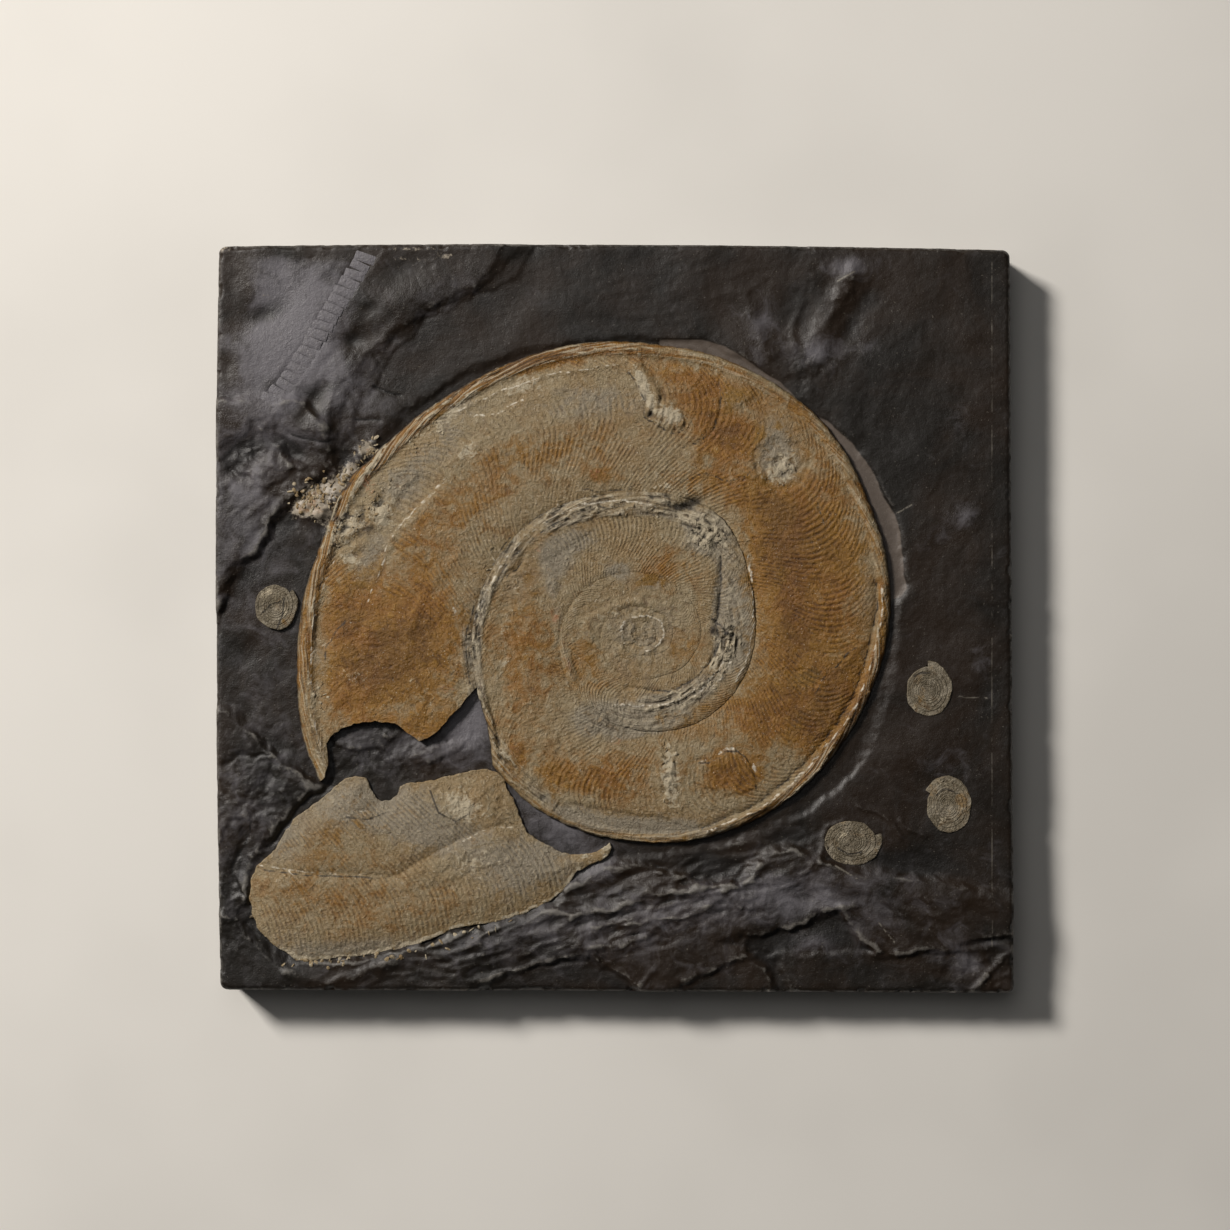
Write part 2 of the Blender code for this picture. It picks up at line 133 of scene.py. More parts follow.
def zone_share(x, y, spots):
    """Bell shapes as a share from 0 to 1."""
    return np.clip(bells(x, y, spots), 0.0, 1.0)


def crests(x, y, lines):
    """The sum of soft ridges, each (height, half width, line of its crest)."""
    total = np.zeros(np.shape(x))
    for height, half_width, line in lines:
        off = line_distance(x, y, line, 3.0 * half_width) / half_width
        total += height * (np.exp(-off ** 2) - math.exp(-9.0))
    return total


def plates(x, y, table):
    """The sum of flat plates and flakes, each (height, run of its edge, outline)."""
    total = np.zeros(np.shape(x))
    for thickness, run, outline in table:
        total += thickness * smooth_step(depth_inside(x, y, outline, 3.0) / run + 0.5)
    return total


LATTICE = 97


def grain(x, y, size, seed, octaves=3):
    """Smooth random relief, about -1 to 1, with lumps of a size in mm and finer ones on them. It comes from
    random slopes at the corners of a lattice, which repeats after many lumps."""
    chance = np.random.default_rng(seed)
    total = np.zeros(np.shape(x))
    for octave in range(octaves):
        turns = chance.uniform(0.0, 2.0 * math.pi, (LATTICE, LATTICE))
        across, up = x * 2 ** octave / size, y * 2 ** octave / size
        column, row = np.floor(across).astype(int), np.floor(up).astype(int)
        u, v = across - column, up - row
        ease_u, ease_v = u ** 3 * (u * (6 * u - 15) + 10), v ** 3 * (v * (6 * v - 15) + 10)
        pulls = []
        for right, over in ((0, 0), (1, 0), (0, 1), (1, 1)):
            angle = turns[(column + right) % LATTICE, (row + over) % LATTICE]
            pulls.append((u - right) * np.cos(angle) + (v - over) * np.sin(angle))
        low = pulls[0] + ease_u * (pulls[1] - pulls[0])
        high = pulls[2] + ease_u * (pulls[3] - pulls[2])
        total += 1.5 * 0.5 ** octave * (low + ease_v * (high - low))
    return total


def nudged(x, y, amount, size, seed, octaves=3):
    """A place moved by random relief of about an amount in mm, which makes straight lines ragged."""
    return x + amount * grain(x, y, size, seed, octaves), y + amount * grain(x, y, size, seed + 1, octaves)


def drawn_in(x, y, centre, share):
    """A place that keeps a share of its distance from a centre."""
    return centre[0] + (x - centre[0]) * share, centre[1] + (y - centre[1]) * share


print("a step half way:", float(smooth_step(0.5)), "grain at the middle:", float(grain(0.3, 0.7, 5.0, 1)))

# %% [markdown]
# A finished piece is one closed mesh with its faces outwards. Marks are numbers kept on its points, such as
# how orange the shell is there, and its material reads them by name.

# %% Helpers for meshes


def linked(name, data):
    """A new object in the scene, made from a mesh, a lamp or a camera."""
    obj = bpy.data.objects.new(name, data)
    bpy.context.scene.collection.objects.link(obj)
    return obj


def grid_faces(index):
    """The faces with four corners between the points of a grid, whose numbers are given as a grid."""
    corners = [index[:-1, :-1], index[:-1, 1:], index[1:, 1:], index[1:, :-1]]
    return np.stack(corners, -1).reshape(-1, 4).tolist()


def keep_marks(mesh, marks):
    for mark, values in marks.items():
        mesh.attributes.new(mark, "FLOAT", "POINT").data.foreach_set("value", np.ravel(values))


def working_shape(mesh):
    shape = bmesh.new()
    shape.from_mesh(mesh)
    return shape


def write_back(shape, mesh):
    """Turns the faces of a working shape outwards and writes it to its mesh."""
    bmesh.ops.recalc_face_normals(shape, faces=shape.faces)
    shape.to_mesh(mesh)
    shape.free()


def soften(mesh, sharp_from):
    """Shades a mesh smooth but for the edges sharper than an angle in degrees."""
    mesh.shade_smooth()
    mesh.set_sharp_from_angle(angle=math.radians(sharp_from))


def piece(name, points, faces, material, marks):
    """A closed mesh from points in mm, with faces turned outwards and marks on its points."""
    mesh = bpy.data.meshes.new(name)
    mesh.from_pydata((np.asarray(points) * MM).tolist(), [], faces)
    keep_marks(mesh, marks)
    mesh.materials.append(material)
    write_back(working_shape(mesh), mesh)
    soften(mesh, 55)
    return linked(name, mesh)


def baked_mesh(obj):
    """The object's mesh with its modifiers, as a plain mesh. The modifiers are removed."""
    bpy.context.view_layer.update()
    mesh = bpy.data.meshes.new_from_object(obj.evaluated_get(bpy.context.evaluated_depsgraph_get()))
    obj.modifiers.clear()
    obj.data = mesh
    return mesh


def mark_values(mesh, mark):
    values = np.zeros(len(mesh.vertices), np.float32)
    mesh.attributes[mark].data.foreach_get("value", values)
    return values.astype(float)


def corner_places(mesh):
    places = np.zeros(len(mesh.vertices) * 3, np.float32)
    mesh.vertices.foreach_get("co", places)
    return places.reshape(-1, 3).astype(float) / MM


def triangle_count(obj):
    return sum(len(face.vertices) - 2 for face in obj.data.polygons)


# %% [markdown]
# Materials are graphs of nodes. One function adds a node, sets it and joins it. Colours are written as sRGB
# hex values, as a paint program shows them, and turned to the linear numbers that the renderer adds up.

# %% Helpers for materials


def linear(code):
    """An sRGB hex colour as linear numbers with a full alpha."""
    parts = [int(code[i:i + 2], 16) / 255.0 for i in (1, 3, 5)]
    return tuple(c / 12.92 if c <= 0.04045 else ((c + 0.055) / 1.055) ** 2.4 for c in parts) + (1.0,)


def add(tree, kind, settings=None, inputs=None):
    """Adds a node with its settings. An input given as a socket or a node is linked, and any other is set."""
    made = tree.nodes.new(kind)
    for name, value in (settings or {}).items():
        setattr(made, name, value)
    for name, value in (inputs or {}).items():
        if isinstance(value, bpy.types.Node):
            value = next(socket for socket in value.outputs if socket.enabled)
        if isinstance(value, bpy.types.NodeSocket):
            tree.links.new(value, made.inputs[name])
        else:
            made.inputs[name].default_value = value
    return made


def new_material(name, roughness, ior, patterns=(), marks=()):
    """A material with its tree, its Object coordinates, and the patterns and marks that it reads. A pattern
    is its name, the size of its lumps in mm, its detail, the roughness of that, and its distortion."""
    material = bpy.data.materials.new(name)
    material.use_nodes = True
    tree = material.node_tree
    shader = tree.nodes["Principled BSDF"]
    shader.inputs["Roughness"].default_value = roughness
    shader.inputs["IOR"].default_value = ior
    shader.inputs["Metallic"].default_value = 0.0
    place = add(tree, "ShaderNodeTexCoord").outputs["Object"]
    noise = {label: add(tree, "ShaderNodeTexNoise", None, {
        "Vector": place, "Scale": 1.0 / (size * MM), "Detail": detail, "Roughness": rough,
        "Distortion": warp}) for label, size, detail, rough, warp in patterns}
    mark = {label: add(tree, "ShaderNodeAttribute", {"attribute_name": label}).outputs["Fac"]
            for label in marks}
    return material, tree, place, noise, mark


def broken_up(tree, noise, mark, rows):
    """Marks with ragged borders. A row is the mark, the pattern that breaks it up, and how much."""
    return {label: add(tree, "ShaderNodeMath", {"operation": "MULTIPLY_ADD"}, {
        0: noise[pattern], 1: amount, 2: mark[label]}) for label, pattern, amount in rows}


def lead_in(tree, colour, gloss, relief):
    """Leads a colour, a gloss and a relief to the shader. The gloss is a pattern and the roughness at its low
    and high values, and the relief is a height, the strength of its bump and its depth in mm."""
    pattern, smooth, matte = gloss
    height, strength, depth = relief
    shader = tree.nodes["Principled BSDF"]
    gloss = add(tree, "ShaderNodeMapRange", None, {
        "Value": pattern, "From Min": 0.3, "From Max": 0.7, "To Min": smooth, "To Max": matte})
    bump = add(tree, "ShaderNodeBump", None, {"Height": height, "Strength": strength, "Distance": depth * MM})
    tree.links.new(colour.outputs["Result"], shader.inputs["Base Color"])
    tree.links.new(gloss.outputs["Result"], shader.inputs["Roughness"])
    tree.links.new(bump.outputs["Normal"], shader.inputs["Normal"])


def coats(tree, colour, rows):
    """Lays coats over a colour. A row is the value that rules the coat, the values where it starts and where
    it is full, how much it covers there, its colour, and MULTIPLY where it soaks in like a stain."""
    for value, start, full, cover, over, *soaks in rows:
        mask = add(tree, "ShaderNodeMapRange", {"interpolation_type": "SMOOTHSTEP"}, {
            "Value": value, "From Min": start, "From Max": full, "To Max": cover})
        settings = {"data_type": "RGBA", "blend_type": soaks[0] if soaks else "MIX"}
        colour = add(tree, "ShaderNodeMix", settings, {"Factor": mask, "A": colour, "B": over})
    return colour


print("mid grey #808080 is", [round(c, 3) for c in linear("#808080")[:3]])

# %% [markdown]
# ## The slab
# Shale splits along its bedding, so the face is a stack of thin sheets broken back to ragged ledges. It could
# be sculpted; here each sheet is an outline with a thickness, as a quarryman would see it, and small random
# shifts of the outline make the break ragged. Ridges, swells and hollows are short lists on top of that.

# %% The sheets of shale
CORNERS = [(-179.9, 169.2), (179.6, 167.8), (181.4, -170.2), (-179.2, -168.4)]
BOW_TOP = 1.8
BOW_LEFT = 1.9
BED_HEIGHT = 22.5
POCKET_FLOOR = 20.1
LOWEST_SHALE = 20.7

# Each sheet: thickness, run of the slope at its edge, outline. A sheet that is missing has a minus sign.
SHEETS = [
    (2.3, 9, [(-195, 73), (-180, 76), (-172, 81), (-165, 87), (-158, 88), (-152, 88), (-145, 83),
        (-136, 81), (-129, 80), (-126, 86), (-124, 96), (-119, 104), (-112, 110), (-107, 118),
        (-101, 126), (-93, 132), (-86, 138), (-78, 143), (-68, 147), (-58, 153), (-50, 160), (-42, 170),
        (-38, 185), (-195, 185)]),
    (2, 4, [(-195, 100), (-140, 100), (-129, 84), (-127, 74), (-132, 66), (-139, 59), (-150, 52),
        (-154, 46), (-158, 38), (-163, 30), (-171, 24), (-177, 15), (-180, 4), (-184, -10), (-195, -12)]),
    (1.2, 3, [(-195, -38), (-176, -41), (-167, -47), (-160, -58), (-150, -66), (-141, -71), (-134, -75),
        (-139, -80), (-147, -86), (-153, -95), (-159, -104), (-165, -111), (-168, -120), (-167, -128),
        (-171, -133), (-178, -137), (-195, -138)]),
    (1.9, 4, [(-195, -128), (-172, -136), (-166, -143), (-158, -150), (-150, -156), (-140, -157),
        (-125, -155), (-110, -154), (-98, -151), (-86, -148), (-74, -142), (-62, -139.5), (-50, -137.5),
        (-38, -133.5), (-28, -129), (-20, -120), (-8, -114), (2, -110), (14, -112), (30, -117),
        (44, -121), (56, -120), (62, -112), (70, -106), (80, -103), (92, -108), (104, -113), (118, -115),
        (135, -117), (155, -120), (175, -124), (195, -126), (195, -185), (-195, -185)]),
    (-1.9, 3.5, [(-74, -185), (-65, -167), (-50, -160.5), (-38, -157), (-26, -154), (-12, -154),
        (0, -160), (10, -168), (14, -185)]),
    (-1.5, 3.5, [(24, -185), (30, -165), (42, -161), (52, -155.5), (66, -152), (75, -156), (82, -185)]),
    (-1.9, 3.5, [(48, -148), (58, -143), (72, -140.5), (84, -139.5), (92, -134), (101, -131.5),
        (106, -136), (111, -144), (118, -150.5), (128, -153), (140, -151), (156, -149), (162, -146.5),
        (177, -145), (195, -144), (195, -185), (76, -185), (70, -158)]),
    (-1.1, 4, [(24, 127), (40, 126.5), (58, 119), (70, 111), (84, 99), (92, 93), (101, 88), (110, 78),
        (119, 64), (126, 49), (130.5, 35), (131, 22), (133, 15), (128, 8), (128, -5), (125, -25),
        (121, -42), (115, -58), (107, -72), (93, -84), (77, -93), (58, -100), (40, -105), (20, -108),
        (2, -109), (-8, -113), (-20, -119), (-28, -128), (-50, -137), (-86, -147), (-120, -154),
        (-150, -155), (-166, -143), (-168, -130), (-166, -115), (-153, -95), (-134, -76), (-150, -64),
        (-165, -50), (-180, -38), (-195, -30), (-195, -8), (-180, 4), (-170, 24), (-158, 38), (-152, 50),
        (-139, 59), (-127, 74), (-110, 80), (-95, 94), (-78, 106), (-60, 115), (-40, 121), (-20, 125.5),
        (0, 127)]),
    (0.7, 1.5, [(-150, 80), (-146, 70), (-152, 62), (-160, 60), (-170, 66), (-176, 72), (-165, 78)]),
    (-0.8, 1.5, [(-176, -92), (-168, -90), (-166, -99), (-170, -106), (-173, -116), (-169, -124),
        (-174, -128), (-180, -122), (-181, -104)]),
    (0.7, 1.2, [(-129, -51), (-119, -49), (-108, -48.5), (-99, -52), (-104, -58), (-116, -60),
        (-127, -58)]),
    (0.6, 1.2, [(-90, -67), (-80, -64), (-71, -60), (-66, -55), (-80, -57), (-92, -61)]),
    (-0.9, 1.5, [(60, -144.5), (75, -141.5), (88, -138.5), (101, -134), (108, -142), (117, -151),
        (60, -153)]),
]

# Thin cracks that are creases of the relief and dark lines of the finish as well.
HAIR_CRACKS = [
    [(-147, 84), (-141, 82), (-133, 80.5), (-128, 80)], [(-118, 90.5), (-107, 90.5)],
    [(-110, 106), (-103, 103), (-98, 102)],
]
# Crests and creases of the bedding: height, half width, line.
FOLDS = [
    (1.2, 2.6, [(-34, -130), (-20, -135), (-4, -132), (12, -125), (24, -122), (34, -125), (40, -121)]),
    (1.1, 2.6, [(8, -138), (24, -136), (38, -132), (46, -127), (53, -123)]),
    (0.9, 2.2, [(-22, -149), (-6, -148.5), (14, -145)]),
    (0.9, 2.2, [(-150, -161), (-130, -165), (-114, -161), (-98, -155)]),
    (1.1, 2.2, [(103, -131), (107, -140), (118, -151)]), (0.6, 3.6, [(60, 146), (63, 134), (71, 121)]),
    (0.9, 4, [(90, 128), (97, 138), (102, 146), (108, 158)]),
    (0.7, 1.5, [(-145, -156.5), (-130, -156.5), (-118, -155.5), (-105, -153), (-88, -148)]),
    (0.8, 1.6, [(60, -144), (75, -141), (85, -139), (90, -135), (98, -132), (110, -129)]),
    (0.8, 1.4, [(118, -153), (130, -153), (136, -151), (145, -150), (165, -150), (180, -149)]),
    (0.7, 1.4, [(-64, -168), (-60, -164), (-50, -160.5), (-40, -158), (-30, -155), (-22, -153.5)]),
    (0.7, 1.4, [(30, -164), (40, -161.5), (52, -155.5), (66, -152)]),
    (0.6, 1.2, [(94, -110), (95, -105), (94, -100), (97, -95), (103, -93)]),
    (0.6, 1.2, [(85, -118), (89, -110)]), (0.6, 1.2, [(112, -85), (120, -87), (127, -93), (130, -98)]),
    (0.5, 1.2, [(130, -92), (135, -96), (141, -99.5)]),
    (0.8, 1.4, [(44, -121.5), (55, -122.5), (62, -118), (66, -112)]),
    (0.6, 1.2, [(-10, -140), (-3, -139), (2, -136)]), (0.5, 1, [(-2, -155), (2, -151), (8, -149)]),
    (0.5, 1, [(10, -168), (14, -164), (18, -160)]), (0.8, 1.6, [(163, -169), (170, -160), (180, -151)]),
    (0.7, 1.4, [(-160, 86), (-156, 82), (-152, 75), (-148, 71), (-143, 70)]),
    (0.5, 2.4, [(84, 143), (81, 134), (82, 123)]),
    (-0.3, 2.8, [(-38, 170), (-50, 160), (-62, 150), (-80, 141.5), (-97, 130), (-108, 118), (-120, 105),
        (-126, 92), (-130, 79)]),
    (-0.3, 1.2, [(-85, 142), (-96, 131), (-108, 119)]),
    (-0.35, 1.8, [(-154, 56), (-160, 46), (-164, 36), (-170, 28), (-176, 20)]), (-0.5, 1, HAIR_CRACKS[0]),
    (-0.5, 0.9, HAIR_CRACKS[1]), (-0.5, 0.9, HAIR_CRACKS[2]),
    (-0.6, 1.1, [(-178, -66), (-172, -62), (-160, -62)]),
    (-0.6, 1.1, [(-129, -73), (-133, -78), (-143, -85), (-152, -97), (-158, -104)]),
]

# Swells and hollows: centre x, centre y, half lengths, turn in degrees, height.
SWELLS = [
    (-161, 139, 14, 8, 25, -1.3), (-174, 152, 7, 14, 0, -1), (-118, 127, 12, 6, 20, -1.2),
    (-137, 99, 5, 12, -35, -1.3), (-128, 98, 5, 12, -35, 0.5), (-168, 73, 11, 9, 20, -2),
    (-146, 75, 10, 5, -30, -1.4), (-92, 160, 17, 6, 15, -0.9), (-95, 146, 14, 6, 20, 0.8),
    (-106, 94, 12, 8, 0, 0.8), (106, 133, 6, 13, -25, -1.4), (96, 127, 8, 12, -30, 1.2),
    (82, 140, 15, 15, 0, -1.3), (112, 158, 9, 7, 0, 0.9), (-164, -14, 9, 6, 0, -0.8),
    (48, -113, 14, 7, -8, -1.7), (75, -100, 13, 6, 10, -1.2), (12, -116, 18, 6, 10, -1.1),
    (-10, -125, 13, 4, 15, -1.3), (86, -125, 8, 6, 0, -1.4), (-60, -150, 16, 6, 20, 0.9),
    (110, -122, 22, 6, -12, 0.8), (140, -112, 20, 8, -8, -0.9), (90, -146, 10, 5, 0, 0.8),
    (-80, -60, 16, 7, 10, 0.7), (140, -60, 26, 9, 15, 0.7), (-170, -88, 8, 14, -15, 0.9),
    (-171, -112, 4, 14, -15, -1.6), (-112, 140, 5, 3, 10, -0.6), (-160, 138, 4, 3, 0, -0.5),
    (-176, 115, 4, 5, 0, -0.6), (-118, 126, 4, 3, 0, -0.5), (-135, 121, 4, 3, 20, 0.4),
    (-148, 75, 5, 3, 0, -0.6), (135, -88, 8, 6, -20, -0.8), (115, 148, 6, 8, 0, -0.7),
    (157, 47, 8, 6, 20, 0.4), (146, 37, 6, 5, 0, 0.3), (166, -19, 6, 7, 0, 0.3),
]

# Crumbled shell on the upper left of the coil's rim: lumps, as SWELLS.
CRUMBLE = [
    (-137, 57, 5, 4, 20, 2.2), (-143, 50, 4, 3, 30, 1.7), (-134, 50, 4, 4, 0, 2), (-127, 55, 5, 4, 40, 2),
    (-122, 64, 4, 3, 50, 2.2), (-116, 74, 3.5, 4, 0, 2.2), (-110, 80, 3, 4, 0, 1.5), (-140, 46, 3, 2, 0, 1),
    (-132, 43.5, 4, 2.5, 10, -1.4), (-113, 71, 3, 5, -20, -1.2), (-128, 66, 3, 4, 0, 1.4),
]

# Zones where the shale is broken in small steps, as SWELLS with the amount of breaking.
BROKEN = [
    (-160, -85, 22, 32, 0, 1), (-172, -135, 12, 16, 0, 0.9), (-96, -60, 34, 14, 0, 1),
    (-165, 72, 14, 12, 20, 1), (-130, 55, 20, 22, 30, 0.9), (85, 112, 14, 12, 0, 0.6),
    (104, 150, 12, 16, 0, 0.5), (60, -130, 14, 7, 0, 0.8), (-5, -152, 9, 6, 0, 0.7),
    (-63, -150, 8, 6, 0, 0.7), (165, -160, 18, 9, 0, 1), (125, -148, 10, 6, 0, 0.4),
    (30, -150, 60, 14, 0, 0.35), (-140, 160, 16, 6, 0, 0.4), (95, -105, 12, 8, 0, 0.5),
    (-85, 160, 20, 8, 0, 0.3),
]
# Where the mud flowed before it set, in ripples: centre, half lengths, turn, width of a ripple, height.
FLOWS = [
    (-20, -136, 96, 20, 13, 8, 1.1), (40, -126, 60, 16, 18, 6, 0.7), (128, -126, 60, 18, -12, 8, 0.5),
    (100, 130, 34, 44, 52, 16, 0.3), (30, 150, 40, 18, 12, 14, 0.3), (-128, 112, 40, 22, 52, 9, 0.25),
    (-165, 60, 20, 26, 40, 9, 0.35), (148, 20, 40, 60, 60, 16, 0.15), (-158, -20, 40, 20, 60, 14, 0.2),
]
print(len(SHEETS), "sheets,", len(FOLDS), "crests and creases,", len(SWELLS), "swells and hollows")

# %% [markdown]
# Another shell's ribbed keel shows through the upper left sheet like a short ladder. Its band is part of the
# sheet's height, and its rungs are added further down. The band round the coil that was scraped clean by
# hand is a flat, pale strip with an outline of its own.

# %% The keel's band and the scraped strip
KEEL = [(-108, 172), (-116, 160), (-124, 147), (-131, 136), (-140, 121), (-149, 108), (-162, 92)]
KEEL_WIDTH = 9.0
KEEL_RISE = -0.25
SCRAPED = [
    (20, 127), (40, 127), (50, 124), (60, 118), (68, 112), (75, 108), (84, 99), (92, 92), (97, 90),
    (100, 87), (108, 80), (114, 72), (118, 66), (122, 56), (128, 46), (130, 38), (131, 28), (131.5, 20),
    (133, 14), (130, 10), (124, 8), (112, 30), (96, 64), (70, 94), (40, 112), (20, 118),
]


def shale_height(x, y, free=1.0):
    """Height of the slab's face above its back in mm, without the pockets. Where free is 0 it lies calm."""
    ragged_x, ragged_y = nudged(x, y, 1.4, 9.0, 11)
    broken = zone_share(x, y, BROKEN)
    scraped = smooth_step(depth_inside(x, y, SCRAPED, 6.0) / 1.2 + 0.5)
    softness = np.clip(1.2 + 1.1 * grain(x, y, 34.0, 17, 2), 0.5, 2.6)
    height = np.full(np.shape(x), BED_HEIGHT)
    for thickness, run, outline in SHEETS:
        share = np.clip(depth_inside(ragged_x, ragged_y, outline, 20.0) / (run * softness) + 0.5, 0.0, 1.0)
        height += thickness * (0.6 * smooth_step(share) + 0.4 * np.clip(stepped(3.0 * share) / 3.0, 0.0, 1.0))
    height += crests(ragged_x, ragged_y, FOLDS)
    height += bells(x, y, SWELLS)
    height += bells(ragged_x, ragged_y, CRUMBLE) * (1.0 + 0.5 * grain(x, y, 3.0, 13))
    calm = (1.0 - 0.85 * scraped) * free
    for index, (flow_x, flow_y, half_long, half_wide, turn, size, rise) in enumerate(FLOWS):
        along, across = own_place(x, y, flow_x, flow_y, turn)
        there = np.exp(-(along / half_long) ** 4 - (across / half_wide) ** 4)
        ripple = grain(along / 3.2, across + 0.12 * along * grain(x, y, 60.0, 18, 1), size, 81 + index, 3)
        height += calm * there * rise * (0.45 - 1.5 * np.abs(ripple))
    band = smooth_step((KEEL_WIDTH / 2 - line_distance(x, y, KEEL, 10.0)) / 1.6 + 0.5)
    height += KEEL_RISE * band
    height += calm * 0.55 * grain(x, y, 26.0, 14, 2)
    height += calm * 0.10 * grain(x, y, 3.2, 15, 3) * (1.0 + 1.5 * broken)
    height += broken * 0.45 * stepped(2.2 * grain(x, y, 11.0, 16, 4))
    height -= 0.25 * scraped
    return LOWEST_SHALE + np.logaddexp(0.0, 4.0 * (height - LOWEST_SHALE)) / 4.0


upper_left = shale_height(np.array([-150.0]), np.array([125.0]))
print("height over the upper left sheet:", round(float(upper_left[0]), 2))

# %% [markdown]
# The pocket under a shell is cut a little inside the shell's edge, so that no gap shows. The places of the
# shells come first for that. The big shell is one rule: its radius grows by a fixed ratio in each turn, and
# a second, measured ratio says how far the crushing moved it from that perfect spiral.

# %% The spiral rule and its crushing
SHELL_CENTRE = (12.3, -7.7)
SHELL_RADIUS = 55.33
GROWTH_PER_TURN = 2.015
MOUTH_ANGLE = 562.5
CRUSHING = [
    (-60, 0.96), (5, 0.923), (18, 0.933), (30, 0.948), (43, 0.998), (54, 1.054), (64, 1.054), (75, 1.024),
    (87, 1.001), (99, 0.988), (110, 0.99), (122, 1.001), (132, 1.012), (150, 1.002), (166, 0.994),
    (181, 0.981), (198, 0.964), (210, 0.976), (216, 1.01), (221, 1.056), (230, 1.049), (237, 1.05),
    (251, 1.025), (265, 1.008), (279, 1.0), (300, 0.987), (315, 0.984), (325, 0.979), (340, 0.984),
    (352, 0.994), (368, 1.008), (380, 1.012), (391, 1.012), (402, 1.03), (412, 1.037), (425, 1.027),
    (435, 1.02), (447, 1.004), (463, 1.0), (473, 0.99), (488, 0.98), (500, 0.985), (507, 0.994),
    (511, 1.008), (516, 1.009), (522, 0.991), (534, 0.991), (546, 0.985), (557, 0.985), (564, 0.968),
]
BREAK_EDGE = [
    (0.0, 557.2), (0.05, 558.6), (0.12, 561.4), (0.2, 563.1), (0.27, 564.9), (0.33, 565.4), (0.39, 565.4),
    (0.43, 563.0), (0.485, 559.4), (0.59, 557.7), (0.7, 556.9), (0.82, 557.4), (0.885, 558.7),
    (0.915, 562.2), (0.97, 564.0), (1.0, 564.2),
]


def edge_radius(angle):
    """Radius of the crushed shell's edge at an unwound angle in degrees."""
    return SHELL_RADIUS * GROWTH_PER_TURN ** (angle / 360.0) * along_table(angle, CRUSHING)


def coil_place(angle, across):
    """x and y of the coil at an unwound angle, with the share of the way across its whorl."""
    inner, outer = edge_radius(angle - 360.0), edge_radius(angle)
    radius = inner + (outer - inner) * across
    turned = np.radians(angle)
    return SHELL_CENTRE[0] + radius * np.cos(turned), SHELL_CENTRE[1] + radius * np.sin(turned)


rim_angles = np.arange(MOUTH_ANGLE - 360.0, MOUTH_ANGLE, 3.0)
break_shares = np.linspace(1.0, 0.0, 24)
rim = np.column_stack(coil_place(rim_angles, 1.0))
broken = np.column_stack(coil_place(along_table(break_shares, BREAK_EDGE), break_shares))
COIL_OUTLINE = [tuple(point) for point in np.concatenate([rim, broken])]
print("the coil measures", np.round(np.ptp(COIL_OUTLINE, axis=0), 1), "mm across")

# %% The outlines of the other shells
CHAMBER = [
    (-166, -127), (-165, -117), (-163, -112), (-158, -108), (-155, -105), (-150, -97), (-145, -90),
    (-140, -86.5), (-134, -82), (-129, -78), (-125, -74), (-122, -72.3), (-117, -71.5), (-113, -72.5),
    (-111, -77), (-109, -81), (-106, -83), (-102, -82), (-99, -80), (-98, -76), (-93, -74.5), (-87, -74),
    (-80, -72.5), (-72, -70.5), (-65, -69), (-58, -68), (-53, -70.5), (-50, -73), (-49, -78), (-46, -82),
    (-44, -88), (-42, -93), (-40, -97), (-36, -100), (-30, -103), (-24, -106.5), (-20, -107.3),
    (-12, -106.5), (-6, -104.5), (-2, -101.8), (-1.5, -104), (-3, -107.5), (-6, -110), (-12, -112),
    (-17, -115), (-20, -119), (-24, -124), (-29, -128), (-35, -131), (-40, -133.5), (-46, -135.5),
    (-52, -137.5), (-60, -138.5), (-70, -140), (-78, -143), (-85, -146), (-92, -148.5), (-98, -150),
    (-105, -151.5), (-115, -153), (-128, -154.5), (-138, -155.5), (-145, -155.3), (-150, -151),
    (-157, -147), (-162, -141), (-164.5, -135),
]
# Each young shell: name, centre x, centre y, half width, half height, turn in degrees.
YOUNG = [
    ("small_ammonite_left", -154.5, 6.0, 9.4, 10.4, 40),
    ("small_ammonite_right", 142.3, -32.5, 10.3, 11.8, 90),
    ("small_ammonite_lower_right", 151.5, -85.0, 10.4, 12.6, 150),
    ("small_ammonite_bottom", 107.6, -101.3, 12.6, 10.0, 20),
]
YOUNG_GROWTH = 1.5
TUCK = 0.9


def pocket_depth(x, y):
    """How far inside the edge of the nearest shell a place is, in mm."""
    depth = np.maximum(depth_inside(x, y, COIL_OUTLINE, 4.0), depth_inside(x, y, CHAMBER, 4.0))
    for _, centre_x, centre_y, half_width, half_height, turn in YOUNG:
        off_x, off_y = (x - centre_x) / half_width, (y - centre_y) / half_height
        turned = np.degrees(np.arctan2(off_y, off_x)) - turn
        edge = YOUNG_GROWTH ** ((turned % 360.0) / 360.0 - 0.8)
        depth = np.maximum(depth, (edge - np.hypot(off_x, off_y)) * min(half_width, half_height))
    return depth


print("depth under the coil's middle:", float(pocket_depth(np.array([12.0]), np.array([-8.0]))[0]))

# %% [markdown]
# Bituminous shale is black to brown mud stone, soft enough to scrape. Its split face is smooth with a dull
# sheen, because the flakes of clay in it all lie flat, and it turns grey where it is bruised or scraped. So
# the finish is a dark base, grey coats through masks, and a roughness that wanders between satin and matte.
# The grey coat is partly that grey and partly a painted sheen, the pale coat on crests is a painted
# highlight, and the dark coat in hollows is painted shade. The saw cut through the beds, so the sides show
# them as fine level stripes.

# %% Bituminous shale
SHALE_DARK = linear("#15110c")
SHALE_BROWN = linear("#22180f")
# A grey that is partly the shale's own grey and partly a painted sheen.
SHALE_GREY_AND_SHEEN = linear("#636064")
# A pale for painted highlights on crests of the relief and along the slab's edges.
SHALE_CREST_HIGHLIGHT = linear("#6f6b65")
